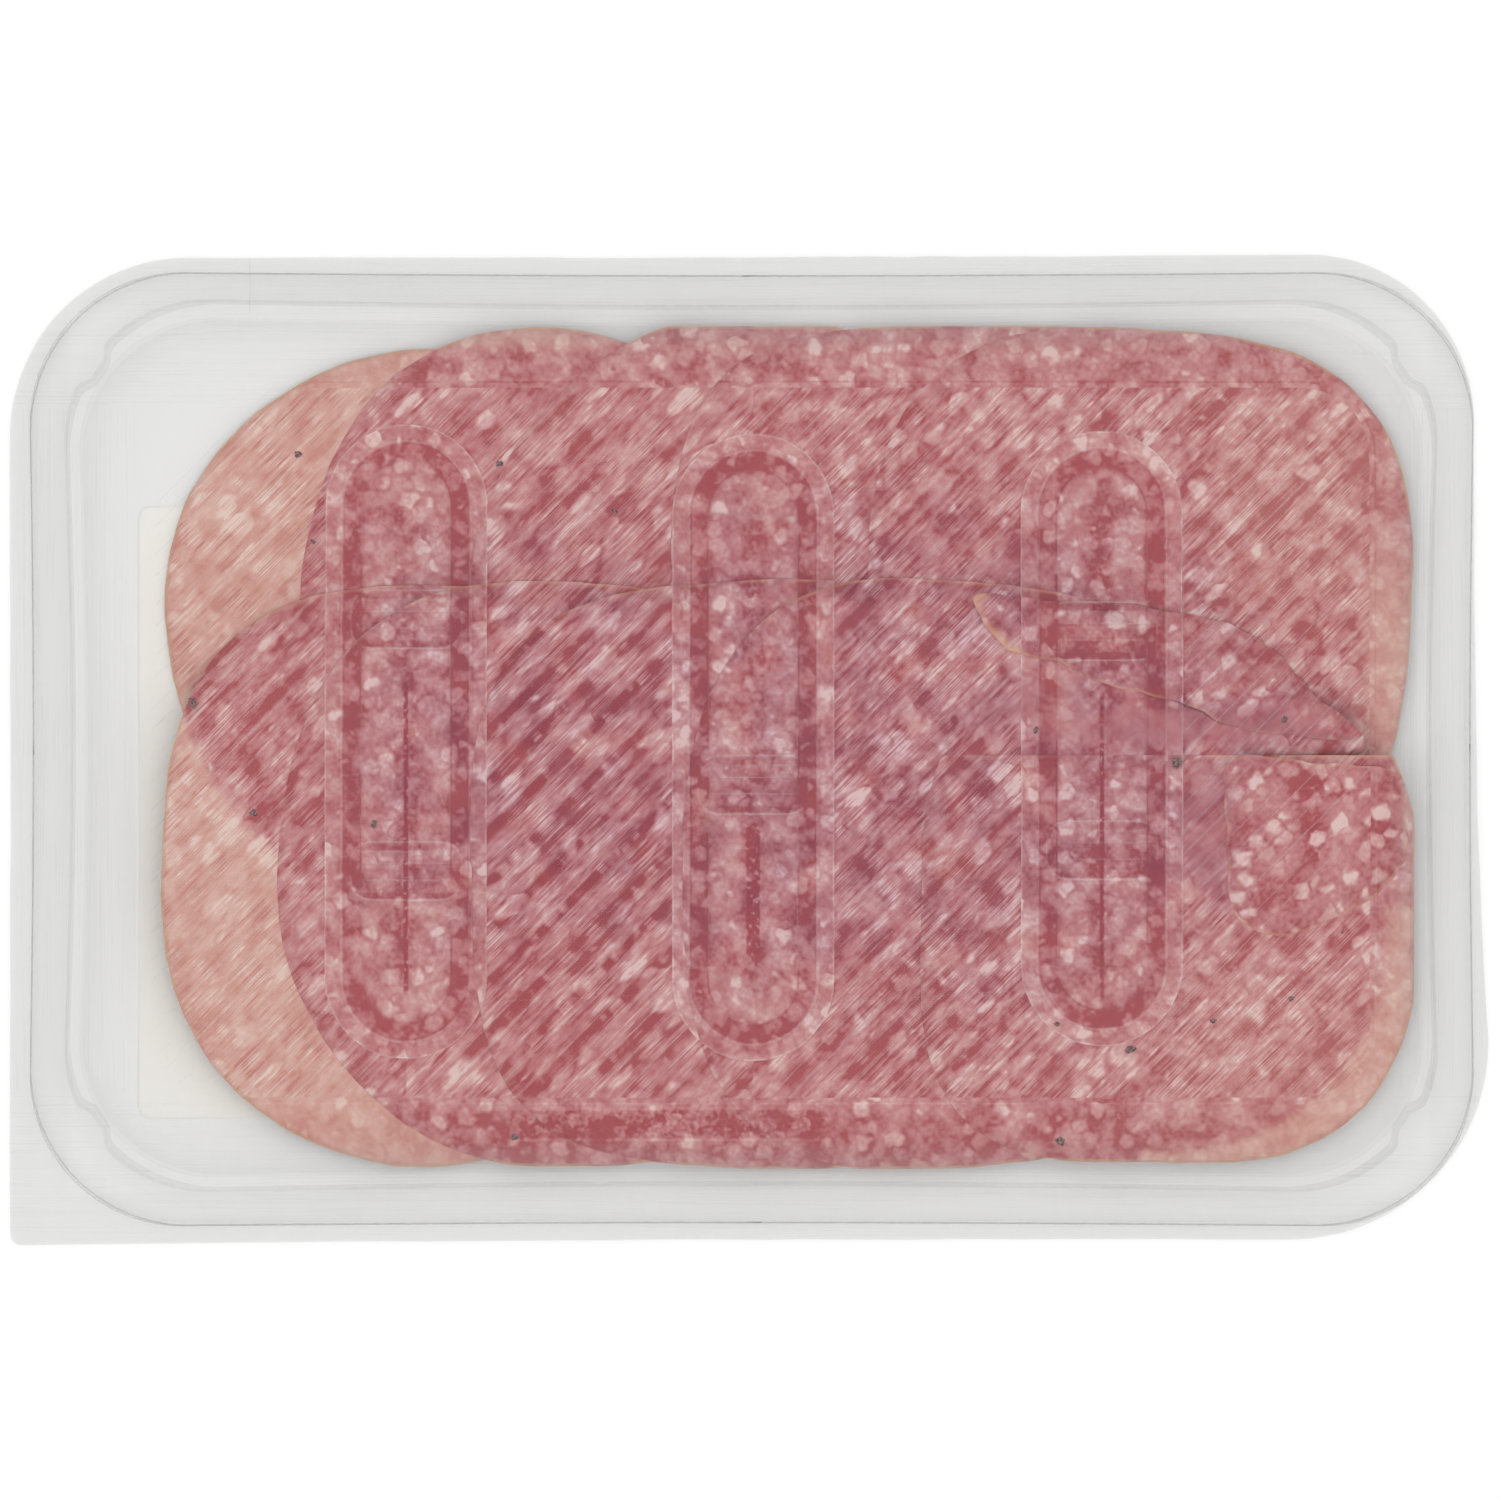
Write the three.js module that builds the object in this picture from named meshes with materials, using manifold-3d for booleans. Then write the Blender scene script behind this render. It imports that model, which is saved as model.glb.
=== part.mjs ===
// A sealed pack of sliced salami: a clear thermoformed tray, two fanned rows of thin slices in it,
// the clear film that closes it, and a blank label stuck on the film.
//
// Millimetres. The pack lies on its film with the tray's base up: +X to the right and +Y up as it is
// looked down on, +Z up. The origin is the middle of the underside.

import * as THREE from 'three';
import { mergeVertices } from 'three/addons/utils/BufferGeometryUtils.js';
import Module from 'manifold-3d';

const wasm = await Module();
wasm.setup();

// Heights, from the underside up
const LABEL_THICKNESS = 0.2;
const FILM_THICKNESS = 0.25;
const WALL = 0.4;
const FILM_TOP = LABEL_THICKNESS + FILM_THICKNESS;
const FLANGE_TOP = FILM_TOP + WALL;
const BEAD_TOP = FLANGE_TOP + 0.3;
const LEDGE_Z = 3.2;
const BASE_Z = 10.3;
const RIB_HEIGHT = 0.3;
const SLOT_DEPTH = 1.5;

// Lines of the tray, seen from above: left, right, top, bottom, corner radius, and how far the sides bow in
const BEAD_LINE = roundRect(-96.8, 97.4, 64.1, -63.9, 21, 0.4);
const STEP_LINE = roundRect(-91.8, 92.2, 60.2, -59.0, 20, 0.8);
const WALL_FOOT = roundRect(-90.1, 90.5, 58.0, -57.3, 18.5, 0.8);
const BASE_EDGE = roundRect(-81.4, 84.5, 49.7, -47.7, 10, 0);
const BEAD_WIDTH = 0.9;
const BEAD_CREST = 0.4;
const STEP_DRAFT = 0.25;
const NOTCH_DEPTH = 1.35;
const NOTCH_FROM = 22.5;
const NOTCH_TO = 45;
const WALL_RUN = 8.2;
// The wall rises steeply from its foot, then rounds over into the base: share of its run, share of its rise
const WALL_CURVE = [[0, 0], [0.05, 0.3], [0.16, 0.58], [0.4, 0.84], [0.68, 0.96], [1, 1]];

// The three slots pressed into the base: middle, top end and bottom end of the plain border round each
const SLOTS = [
  { x: -46.3, top: 43.9, bottom: -41.6, bars: [17.6, -16.3] },
  { x: 0.5, top: 42.6, bottom: -41.9, bars: [-4.7] },
  { x: 47.5, top: 43.0, bottom: -39.9, bars: [16.0, -13.5] },
];
const SLOT_BORDER = 10.9;
const SLOT_SHOULDER = 8.4;
const SLOT_FLOOR = 5.9;
// Bars across the slots: half length and half width at the foot, the shoulder and the top
const BAR_SIZES = [[7.3, 3.8], [6.8, 2.9], [6.0, 1.6]];
const BAR_BELOW_BASE = 0.2;
const BAR_ROUNDING = 0.7;

// Stiffening ribs across the base, at 45 degrees: where each starts, crests and ends as a share of the pitch
const RIB_PITCH = 4.778;
const RIB_PROFILE = [0.68, 0.98, 1.24, 1.32];
const RIB_MARGIN = 0.8;

// Slices: middle, half sizes, squareness of the outline and layer, counted up from the film
const SLICE_THICKNESS = 1.1;
const SLICE_GAP = 0.15;
const LAYER = SLICE_THICKNESS + SLICE_GAP;
const SLICES = [
  { name: 'slice_upper_1', x: -43.2, y: 17.0, rx: 35.7, ry: 37.3, square: 2.05, layer: 0 },
  { name: 'slice_upper_2', x: -29.0, y: 19.9, rx: 35.4, ry: 37.4, square: 2.0, layer: 1 },
  { name: 'slice_upper_3', x: -1.3, y: 19.6, rx: 36.2, ry: 38.4, square: 2.1, layer: 2 },
  { name: 'slice_upper_4', x: 25.7, y: 19.7, rx: 36.2, ry: 38.4, square: 2.1, layer: 3 },
  { name: 'slice_upper_5', x: 52.8, y: 18.2, rx: 36.6, ry: 38.9, square: 2.5, layer: 4 },
  { name: 'slice_lower_1', x: -44.1, y: -18.1, rx: 35.8, ry: 38.4, square: 2.0, layer: 3 },
  { name: 'slice_lower_2', x: -27.0, y: -18.6, rx: 36.1, ry: 38.4, square: 2.0, layer: 4 },
  { name: 'slice_lower_3', x: -1.3, y: -16.5, rx: 36.2, ry: 39.7, square: 2.1, layer: 5 },
  { name: 'slice_lower_4', x: 27.1, y: -16.5, rx: 36.2, ry: 39.7, square: 2.1, layer: 6 },
  { name: 'slice_lower_5', x: 56.6, y: -20.9, rx: 33.8, ry: 35.3, square: 2.7, layer: 7, foldedAt: -0.7 },
];
// Two narrow pieces of slice that lie folded on top, each by the points of its own outline
const FLAPS = [
  {
    name: 'slice_flap_1', layer: 7,
    points: [
      [30.5, 20.9], [39, 20.2], [47.4, 19.9], [60.9, 18], [69.3, 14.6], [76, 7.8], [82.2, 1.6],
      [66.3, 2.9], [58.2, 6.4], [48.7, 8.6], [42, 11.6], [33.9, 14.2],
    ],
  },
  {
    name: 'slice_flap_2', layer: 8,
    points: [
      [64.7, -1.5], [75.7, -1.6], [87, -3], [88.2, -7], [88.6, -13.5], [86, -18.2],
      [78.4, -23], [70.3, -25], [65, -20.9], [64.4, -11],
    ],
  },
];
const EDGE_WAVE = 0.011;
const FLAP_POINTS = 30;
const SLICE_POINTS = 34;

// The sheet that all slices are cut from, and how it settles on the film
const SHEET = { halfX: 92, halfY: 60, columns: 23, rows: 15 };
const SETTLE_STEPS = 300;
const FILM_CLEARANCE = 0.2;
const TRAY_CLEARANCE = 0.15;
const COVER_MARGIN = 8;

const LABEL = roundRect(-82.5, 82.5, 32.8, -49.7, 1.5, 0);
// The flange is cut square at one corner, the peeling tab, and its right side swells towards the bottom
const OUTLINE = {
  corners: [[98, 67, 22.5], [-100, 66.6, 24], [-100, -67, 1.5], [100, -66.2, 27]],
  bow: 0,
};

const clearPlastic = new THREE.MeshStandardMaterial({
  color: 0xe6e9ea, roughness: 0.12, metalness: 0, transparent: true, opacity: 0.3,
});
const clearFilm = new THREE.MeshStandardMaterial({
  color: 0xeceeee, roughness: 0.2, metalness: 0, transparent: true, opacity: 0.3,
});
const whitePaper = new THREE.MeshStandardMaterial({ color: 0xf4f1ec, roughness: 0.75, metalness: 0 });
const salami = new THREE.MeshStandardMaterial({ color: 0xb9777b, roughness: 0.45, metalness: 0 });

// --- Outlines ---------------------------------------------------------------------------------------

// Four corners with their radii, anticlockwise from the top right, and the inward bow of the sides.
function roundRect(left, right, top, bottom, radius, bow) {
  const places = [[right, top], [left, top], [left, bottom], [right, bottom]];
  return { corners: places.map(([x, y]) => [x, y, radius]), bow };
}

// An outline about the origin, moved in all round. A negative distance grows it.
function inset(outline, distance) {
  const smallest = 0.2;
  const corners = outline.corners.map(([x, y, radius]) => [
    x - Math.sign(x) * distance,
    y - Math.sign(y) * distance,
    Math.max(radius - distance, smallest),
  ]);
  return { ...outline, corners };
}

function blend(outlineA, outlineB, share) {
  const mix = (a, b) => a + (b - a) * share;
  const corners = outlineA.corners.map((corner, k) => corner.map((v, j) => mix(v, outlineB.corners[k][j])));
  return { corners, bow: mix(outlineA.bow, outlineB.bow) };
}

// How far the ledge is bitten in at an angle up from the short side of a corner.
function notchAt(angle) {
  const slope = 7.5;
  const rise = Math.min((angle - NOTCH_FROM) / slope, (NOTCH_TO - angle) / slope);
  return THREE.MathUtils.clamp(rise, 0, 1);
}

function cornerPoint(outline, k, share) {
  const [x, y, radius] = outline.corners[k];
  const signX = k === 0 || k === 3 ? 1 : -1;
  const signY = k < 2 ? 1 : -1;
  const degrees = 90 * (k + share);
  const fromShortSide = k % 2 === 0 ? 90 * share : 90 * (1 - share);
  const reach = radius - (outline.notch ?? 0) * notchAt(fromShortSide);
  const angle = THREE.MathUtils.degToRad(degrees);
  return new THREE.Vector2(
    x - signX * radius + reach * Math.cos(angle),
    y - signY * radius + reach * Math.sin(angle),
  );
}

// A side runs from one corner's end to the next one's start. What it moves across by comes mostly early.
function sidePoint(outline, k, share) {
  const from = cornerPoint(outline, (k + 3) % 4, 1);
  const to = cornerPoint(outline, k, 0);
  const across = 1 - (1 - share) ** 3;
  const bow = outline.bow * Math.sin(Math.PI * share);
  if (k % 2 === 0) {
    const x = THREE.MathUtils.lerp(from.x, to.x, across) - Math.sign(to.x) * bow;
    return new THREE.Vector2(x, THREE.MathUtils.lerp(from.y, to.y, share));
  }
  const y = THREE.MathUtils.lerp(from.y, to.y, across) - Math.sign(to.y) * bow;
  return new THREE.Vector2(THREE.MathUtils.lerp(from.x, to.x, share), y);
}

function outlinePoints(outline, perCorner, perSide) {
  const points = [];
  for (let k = 0; k < 4; k += 1) {
    for (let i = 0; i < perSide; i += 1) {
      points.push(sidePoint(outline, k, i / perSide));
    }
    for (let i = 0; i < perCorner; i += 1) {
      points.push(cornerPoint(outline, k, i / perCorner));
    }
  }
  return points;
}

// --- Solids -----------------------------------------------------------------------------------------

function isDegenerate(index, k) {
  const [a, b, c] = [index[k], index[k + 1], index[k + 2]];
  return a === b || b === c || c === a;
}

function signedVolume(positions, triangles) {
  const point = (n) => new THREE.Vector3().fromArray(positions, 3 * n);
  let volume = 0;
  for (let k = 0; k < triangles.length; k += 3) {
    const [a, b, c] = [point(triangles[k]), point(triangles[k + 1]), point(triangles[k + 2])];
    volume += a.dot(b.cross(c)) / 6;
  }
  return volume;
}

// A closed geometry with shared corners, as a solid whose faces point out.
function toSolid(geometry) {
  geometry.deleteAttribute('normal');
  geometry.deleteAttribute('uv');
  const merged = mergeVertices(geometry, 1e-4);
  const index = merged.index.array;
  const triangles = [];
  for (let k = 0; k < index.length; k += 3) {
    if (!isDegenerate(index, k)) {
      triangles.push(index[k], index[k + 1], index[k + 2]);
    }
  }
  const positions = merged.attributes.position.array;
  if (signedVolume(positions, triangles) < 0) {
    triangles.reverse();
  }
  return new wasm.Manifold(new wasm.Mesh({
    numProp: 3,
    vertProperties: new Float32Array(positions),
    triVerts: new Uint32Array(triangles),
  }));
}

// A lathe form whose circles become the given outlines, each at its height. It is flat at both ends.
function ringSolid(rings, perCorner = 12, perSide = 5) {
  const loops = rings.map(([outline, z]) => ({ points: outlinePoints(outline, perCorner, perSide), z }));
  const count = loops[0].points.length;
  const profile = [new THREE.Vector2(0, 0)];
  loops.forEach((loop, j) => profile.push(new THREE.Vector2(1, j)));
  profile.push(new THREE.Vector2(0, loops.length));
  const geometry = new THREE.LatheGeometry(profile, count);
  const position = geometry.attributes.position;
  for (let i = 0; i <= count; i += 1) {
    profile.forEach((_, j) => {
      const loop = loops[THREE.MathUtils.clamp(j - 1, 0, loops.length - 1)];
      const atEnd = j === 0 || j === profile.length - 1;
      const point = atEnd ? loopMiddle(loop.points) : loop.points[i % count];
      position.setXYZ(i * profile.length + j, point.x, point.y, loop.z);
    });
  }
  return toSolid(geometry);
}

function loopMiddle(points) {
  const middle = new THREE.Vector2();
  points.forEach((point) => middle.addScaledVector(point, 1 / points.length));
  return middle;
}

function prism(points, low, high) {
  const geometry = new THREE.ExtrudeGeometry(new THREE.Shape(points), {
    depth: high - low,
    bevelEnabled: false,
  });
  geometry.translate(0, 0, low);
  return toSolid(geometry);
}

function largestBody(solid) {
  const bodies = solid.decompose();
  return bodies.reduce((best, body) => (body.volume() > best.volume() ? body : best));
}

function toMesh(name, solid, material) {
  const mesh = solid.getMesh();
  const geometry = new THREE.BufferGeometry();
  geometry.setAttribute('position', new THREE.BufferAttribute(new Float32Array(mesh.vertProperties), 3));
  geometry.setIndex(new THREE.BufferAttribute(new Uint32Array(mesh.triVerts), 1));
  geometry.computeVertexNormals();
  const result = new THREE.Mesh(geometry, material);
  result.name = name;
  return result;
}

// --- Tray -------------------------------------------------------------------------------------------

// The rings of the wall, from its foot to the base, for a skin that lies a distance inside the outer one.
function wallRings(skin) {
  const foot = inset(WALL_FOOT, skin);
  const low = LEDGE_Z - skin;
  const high = BASE_Z - skin;
  return WALL_CURVE.map(([run, rise]) => [blend(foot, BASE_EDGE, run), low + (high - low) * rise]);
}

function trayOuter() {
  const step = { ...STEP_LINE, notch: NOTCH_DEPTH };
  return ringSolid([
    [OUTLINE, FILM_TOP],
    [OUTLINE, FLANGE_TOP],
    [inset(BEAD_LINE, -BEAD_WIDTH / 2), FLANGE_TOP],
    [inset(BEAD_LINE, -BEAD_CREST / 2), BEAD_TOP],
    [inset(BEAD_LINE, BEAD_CREST / 2), BEAD_TOP],
    [inset(BEAD_LINE, BEAD_WIDTH / 2), FLANGE_TOP],
    [step, FLANGE_TOP],
    [inset(step, STEP_DRAFT), LEDGE_Z],
    ...wallRings(0),
  ]);
}

function cavity(skin) {
  const step = { ...inset(STEP_LINE, skin), notch: NOTCH_DEPTH };
  return ringSolid([
    [step, 0],
    [step, FLANGE_TOP],
    [inset(step, STEP_DRAFT), LEDGE_Z - skin],
    ...wallRings(skin),
  ]);
}

function slotOutline(slot, halfWidth) {
  const ends = SLOT_BORDER - halfWidth;
  return roundRect(slot.x - halfWidth, slot.x + halfWidth, slot.top - ends, slot.bottom + ends, halfWidth, 0);
}

// The space that a slot takes, down to its floor, grown and lowered by a skin.
function slotSpace(slot, skin) {
  const floor = BASE_Z - SLOT_DEPTH - skin;
  const above = BASE_Z + 2;
  return ringSolid([
    [slotOutline(slot, SLOT_FLOOR + skin / 2), floor],
    [slotOutline(slot, SLOT_SHOULDER + skin), BASE_Z - skin],
    [slotOutline(slot, SLOT_SHOULDER + skin), above],
  ], 5, 1);
}

// A bar across a slot, with sloping sides. The skin is taken off it for its hollow underside.
function slotBar(slot, y, skin) {
  const top = BASE_Z - BAR_BELOW_BASE - skin;
  const foot = BASE_Z - SLOT_DEPTH - WALL / 2 - 2 * skin;
  const shoulder = (2 * top + foot) / 3;
  const heights = [foot, shoulder, top];
  return ringSolid(BAR_SIZES.map(([halfLength, halfWidth], k) => {
    const length = halfLength - skin;
    const width = halfWidth - skin;
    const outline = roundRect(
      slot.x - length, slot.x + length, y + width, y - width, width * BAR_ROUNDING, 0,
    );
    return [outline, heights[k]];
  }), 3, 1);
}

// Bars of the rib's own section, side by side at 45 degrees, cut to the base between the slots.
function ribs() {
  const reach = 125;
  const sunk = 0.1;
  const half = Math.ceil(reach / RIB_PITCH);
  const [start, crestStart, crestEnd, end] = RIB_PROFILE.map((share) => share * RIB_PITCH);
  const section = [[start, -sunk], [end, -sunk], [crestEnd, RIB_HEIGHT], [crestStart, RIB_HEIGHT]];
  const shape = new THREE.Shape(section.map(([across, up]) => new THREE.Vector2(across, up)));
  const turn = new THREE.Matrix4().makeBasis(
    new THREE.Vector3(Math.SQRT1_2, -Math.SQRT1_2, 0),
    new THREE.Vector3(0, 0, 1),
    new THREE.Vector3(-Math.SQRT1_2, -Math.SQRT1_2, 0),
  );
  const bars = [];
  for (let k = -half; k < half; k += 1) {
    const geometry = new THREE.ExtrudeGeometry(shape, { depth: 2 * reach, bevelEnabled: false });
    geometry.translate(k * RIB_PITCH, BASE_Z, -reach);
    geometry.applyMatrix4(turn);
    bars.push(toSolid(geometry));
  }
  const upright = (outline, perCorner) => ringSolid(
    [[outline, BASE_Z - 1], [outline, BASE_Z + 1]], perCorner, 1,
  );
  const zone = upright(inset(BASE_EDGE, RIB_MARGIN), 4);
  const borders = SLOTS.map((slot) => upright(slotOutline(slot, SLOT_BORDER), 5));
  return wasm.Manifold.union(bars).intersect(zone).subtract(wasm.Manifold.union(borders));
}

function tray() {
  let outer = trayOuter().add(ribs());
  let inner = cavity(WALL);
  for (const slot of SLOTS) {
    outer = outer.subtract(slotSpace(slot, 0));
    inner = inner.subtract(slotSpace(slot, WALL));
    for (const y of slot.bars) {
      outer = outer.add(slotBar(slot, y, 0));
      inner = inner.add(slotBar(slot, y, WALL));
    }
  }
  return largestBody(outer.subtract(inner));
}

// --- Slices -----------------------------------------------------------------------------------------

// An uneven oval. Its squareness is the power of the superellipse, and the waves differ from slice to slice.
function ovalPoints(slice, number, grow = 0) {
  const points = [];
  for (let k = 0; k < SLICE_POINTS; k += 1) {
    const angle = (2 * Math.PI * k) / SLICE_POINTS;
    const [c, s] = [Math.cos(angle), Math.sin(angle)];
    const power = Math.abs(c) ** slice.square + Math.abs(s) ** slice.square;
    const wave = Math.sin(3 * angle + 1.7 * number) + 0.7 * Math.sin(5 * angle + 2.9 * number);
    const scale = power ** (-1 / slice.square) * (1 + EDGE_WAVE * wave);
    const x = slice.x + (slice.rx + grow) * c * scale;
    const y = slice.y + (slice.ry + grow) * s * scale;
    points.push(new THREE.Vector2(x, Math.min(y, slice.foldedAt ?? Infinity)));
  }
  return points;
}

function flapPoints(flap) {
  const path = new THREE.CatmullRomCurve3(
    flap.points.map(([x, y]) => new THREE.Vector3(x, y, 0)), true, 'centripetal',
  );
  return path.getSpacedPoints(FLAP_POINTS).slice(1).map((point) => new THREE.Vector2(point.x, point.y));
}

function covers(points, x, y) {
  let inside = false;
  points.forEach((a, k) => {
    const b = points[(k + 1) % points.length];
    const crosses = (a.y > y) !== (b.y > y) && x < ((b.x - a.x) * (y - a.y)) / (b.y - a.y) + a.x;
    inside = crosses ? !inside : inside;
  });
  return inside;
}

// How far up the wall is, as a share of its rise, at a share of its run in from the foot.
function wallRise(run) {
  const next = WALL_CURVE.findIndex(([share]) => share >= run);
  if (next < 1) {
    return next < 0 ? 1 : 0;
  }
  const [shareA, riseA] = WALL_CURVE[next - 1];
  const [shareB, riseB] = WALL_CURVE[next];
  return riseA + ((riseB - riseA) * (run - shareA)) / (shareB - shareA);
}

// Height of the tray's inside over a place: low at the ledge, round up the wall, and lower at the slots.
function ceilingAt(x, y) {
  const [right, top] = WALL_FOOT.corners[0];
  const [left, bottom] = WALL_FOOT.corners[2];
  const fromFoot = Math.min(x - left, right - x, top - y, y - bottom) / WALL_RUN;
  const wall = LEDGE_Z - WALL + (BASE_Z - LEDGE_Z) * wallRise(THREE.MathUtils.clamp(fromFoot, 0, 1));
  const inSlot = SLOTS.some(
    (slot) => Math.abs(x - slot.x) < SLOT_BORDER && y < slot.top && y > slot.bottom,
  );
  return inSlot ? Math.min(wall, BASE_Z - SLOT_DEPTH - WALL) : wall;
}

// One sheet of heights that every slice shares, each a layer apart, so that no two can meet. It is as
// taut as the film below the lowest slice and the tray above the highest one let it be.
function settledSheet(outlines) {
  const { halfX, halfY, columns, rows } = SHEET;
  const nodes = [];
  for (let j = 0; j <= rows; j += 1) {
    for (let i = 0; i <= columns; i += 1) {
      const x = -halfX + (2 * halfX * i) / columns;
      const y = halfY - (2 * halfY * j) / rows;
      const layers = outlines.filter((o) => covers(o.wide, x, y)).map((o) => o.layer * LAYER);
      const low = FILM_TOP + FILM_CLEARANCE - Math.min(...layers);
      const high = ceilingAt(x, y) - TRAY_CLEARANCE - SLICE_THICKNESS - Math.max(...layers);
      nodes.push({ low, high: Math.max(low, high), z: layers.length > 0 ? low : 0 });
    }
  }
  const clamp = THREE.MathUtils.clamp;
  const at = (i, j) => nodes[clamp(j, 0, rows) * (columns + 1) + clamp(i, 0, columns)];
  for (let step = 0; step < SETTLE_STEPS; step += 1) {
    for (let j = 0; j <= rows; j += 1) {
      for (let i = 0; i <= columns; i += 1) {
        const mean = (at(i - 1, j).z + at(i + 1, j).z + at(i, j - 1).z + at(i, j + 1).z) / 4;
        const node = at(i, j);
        node.z = Math.max(Math.min(mean, node.high), node.low);
      }
    }
  }
  return nodes.map((node) => node.z);
}

// A closed sheet over the whole pack, both faces split into triangles alike.
function sheetSolid(heights, low) {
  const { halfX, halfY, columns, rows } = SHEET;
  const plane = new THREE.PlaneGeometry(2 * halfX, 2 * halfY, columns, rows);
  const flat = plane.attributes.position.array;
  const count = heights.length;
  const positions = [];
  for (const offset of [low + SLICE_THICKNESS, low]) {
    heights.forEach((z, k) => positions.push(flat[3 * k], flat[3 * k + 1], z + offset));
  }
  const top = [...plane.index.array];
  const bottom = top.map((k) => k + count).reverse();
  const rim = [];
  for (let i = 0; i < columns; i += 1) {
    rim.push(i);
  }
  for (let j = 0; j < rows; j += 1) {
    rim.push(j * (columns + 1) + columns);
  }
  for (let i = columns; i > 0; i -= 1) {
    rim.push(rows * (columns + 1) + i);
  }
  for (let j = rows; j > 0; j -= 1) {
    rim.push(j * (columns + 1));
  }
  const side = rim.flatMap((a, k) => {
    const b = rim[(k + 1) % rim.length];
    return [a, b, a + count, b, b + count, a + count];
  });
  const geometry = new THREE.BufferGeometry();
  geometry.setAttribute('position', new THREE.BufferAttribute(new Float32Array(positions), 3));
  geometry.setIndex([...top, ...bottom, ...side]);
  return toSolid(geometry);
}

function slices() {
  const outlines = [
    ...SLICES.map((slice, n) => ({
      name: slice.name,
      layer: slice.layer,
      points: ovalPoints(slice, n),
      wide: ovalPoints(slice, n, COVER_MARGIN),
    })),
    ...FLAPS.map((flap) => ({
      name: flap.name,
      layer: flap.layer,
      points: flapPoints(flap),
      wide: flapPoints(flap),
    })),
  ];
  const heights = settledSheet(outlines);
  let room = cavity(WALL + TRAY_CLEARANCE);
  for (const slot of SLOTS) {
    room = room.subtract(slotSpace(slot, WALL + TRAY_CLEARANCE));
  }
  return outlines.map(({ name, layer, points }) => {
    const sheet = sheetSolid(heights, layer * LAYER);
    const cut = sheet.intersect(prism(points, -2, BASE_Z)).intersect(room);
    return toMesh(name, largestBody(cut), salami);
  });
}

// --- Assembly ---------------------------------------------------------------------------------------

const pack = new THREE.Group();
pack.add(toMesh('label', ringSolid([[LABEL, 0], [LABEL, LABEL_THICKNESS]], 4, 1), whitePaper));
pack.add(toMesh('film', ringSolid([[OUTLINE, LABEL_THICKNESS], [OUTLINE, FILM_TOP]]), clearFilm));
pack.add(toMesh('tray', tray(), clearPlastic));
slices().forEach((slice) => pack.add(slice));

export default pack;
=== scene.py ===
"""Looks of a sealed pack of sliced salami: a clear ribbed tray over two fanned rows of slices, closed
by a clear film with a blank label on it. It lies on the film, and the camera looks down on the tray."""

import math

import bmesh
import bpy
import numpy as np
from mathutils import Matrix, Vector
from mathutils.bvhtree import BVHTree
from mathutils.geometry import delaunay_2d_cdt


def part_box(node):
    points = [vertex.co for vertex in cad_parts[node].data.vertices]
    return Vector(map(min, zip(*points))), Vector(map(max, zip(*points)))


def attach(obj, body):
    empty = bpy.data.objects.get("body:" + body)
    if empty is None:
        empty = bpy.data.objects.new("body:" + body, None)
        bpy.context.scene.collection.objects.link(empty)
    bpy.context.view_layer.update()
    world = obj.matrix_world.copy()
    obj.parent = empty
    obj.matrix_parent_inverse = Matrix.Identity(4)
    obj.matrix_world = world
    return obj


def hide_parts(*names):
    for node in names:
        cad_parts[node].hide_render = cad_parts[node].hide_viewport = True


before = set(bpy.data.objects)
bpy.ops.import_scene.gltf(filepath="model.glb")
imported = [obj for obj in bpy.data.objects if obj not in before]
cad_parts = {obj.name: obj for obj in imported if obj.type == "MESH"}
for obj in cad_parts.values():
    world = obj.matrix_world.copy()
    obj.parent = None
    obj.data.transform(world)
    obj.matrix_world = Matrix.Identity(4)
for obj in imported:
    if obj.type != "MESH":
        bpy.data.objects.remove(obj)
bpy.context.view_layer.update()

MM = 0.001

# Heights of the pack, from the underside up, in millimetres
LABEL_TOP = 0.2
FILM_TOP = 0.43
TRAY_FOOT = 0.45
FLANGE_TOP = 0.85
BEAD_TOP = 1.15
WALL = 0.4
LEDGE_Z = 3.2
BASE_Z = 10.3
RIB_HEIGHT = 0.3
SLOT_DEPTH = 1.5


def round_rect(left, right, top, bottom, radius, bow=0.0, notch=0.0):
    """Four corners with their radii, anticlockwise from the top right, how far the sides bow in, and how
    deep the corners are notched."""
    places = [(right, top), (left, top), (left, bottom), (right, bottom)]
    return {"corners": [(x, y, radius) for x, y in places], "bow": bow, "notch": notch}


# Lines of the tray, seen from above
OUTLINE = {
    "corners": [(98, 67, 22.5), (-100, 66.6, 24), (-100, -67, 1.5), (100, -66.2, 27)],
    "bow": 0.0, "notch": 0.0,
}
BEAD_LINE = round_rect(-96.8, 97.4, 64.1, -63.9, 21, 0.4)
STEP_LINE = round_rect(-91.8, 92.2, 60.2, -59.0, 20, 0.8, 1.35)
WALL_FOOT = round_rect(-90.1, 90.5, 58.0, -57.3, 18.5, 0.8)
BASE_EDGE = round_rect(-81.4, 84.5, 49.7, -47.7, 10)
LABEL_LINE = round_rect(-82.5, 82.5, 32.8, -49.7, 1.5)
NOTCH_FROM, NOTCH_TO, NOTCH_SLOPE = 22.5, 45.0, 7.5  # degrees into each corner from its short side
WALL_CURVE = [(0, 0), (0.05, 0.3), (0.16, 0.58), (0.4, 0.84), (0.68, 0.96), (1, 1)]
WALL_RUNS = [0, 0.02, 0.05, 0.09, 0.13, 0.18, 0.25, 0.33, 0.42, 0.52, 0.62, 0.72, 0.82, 0.91, 1]
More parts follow.
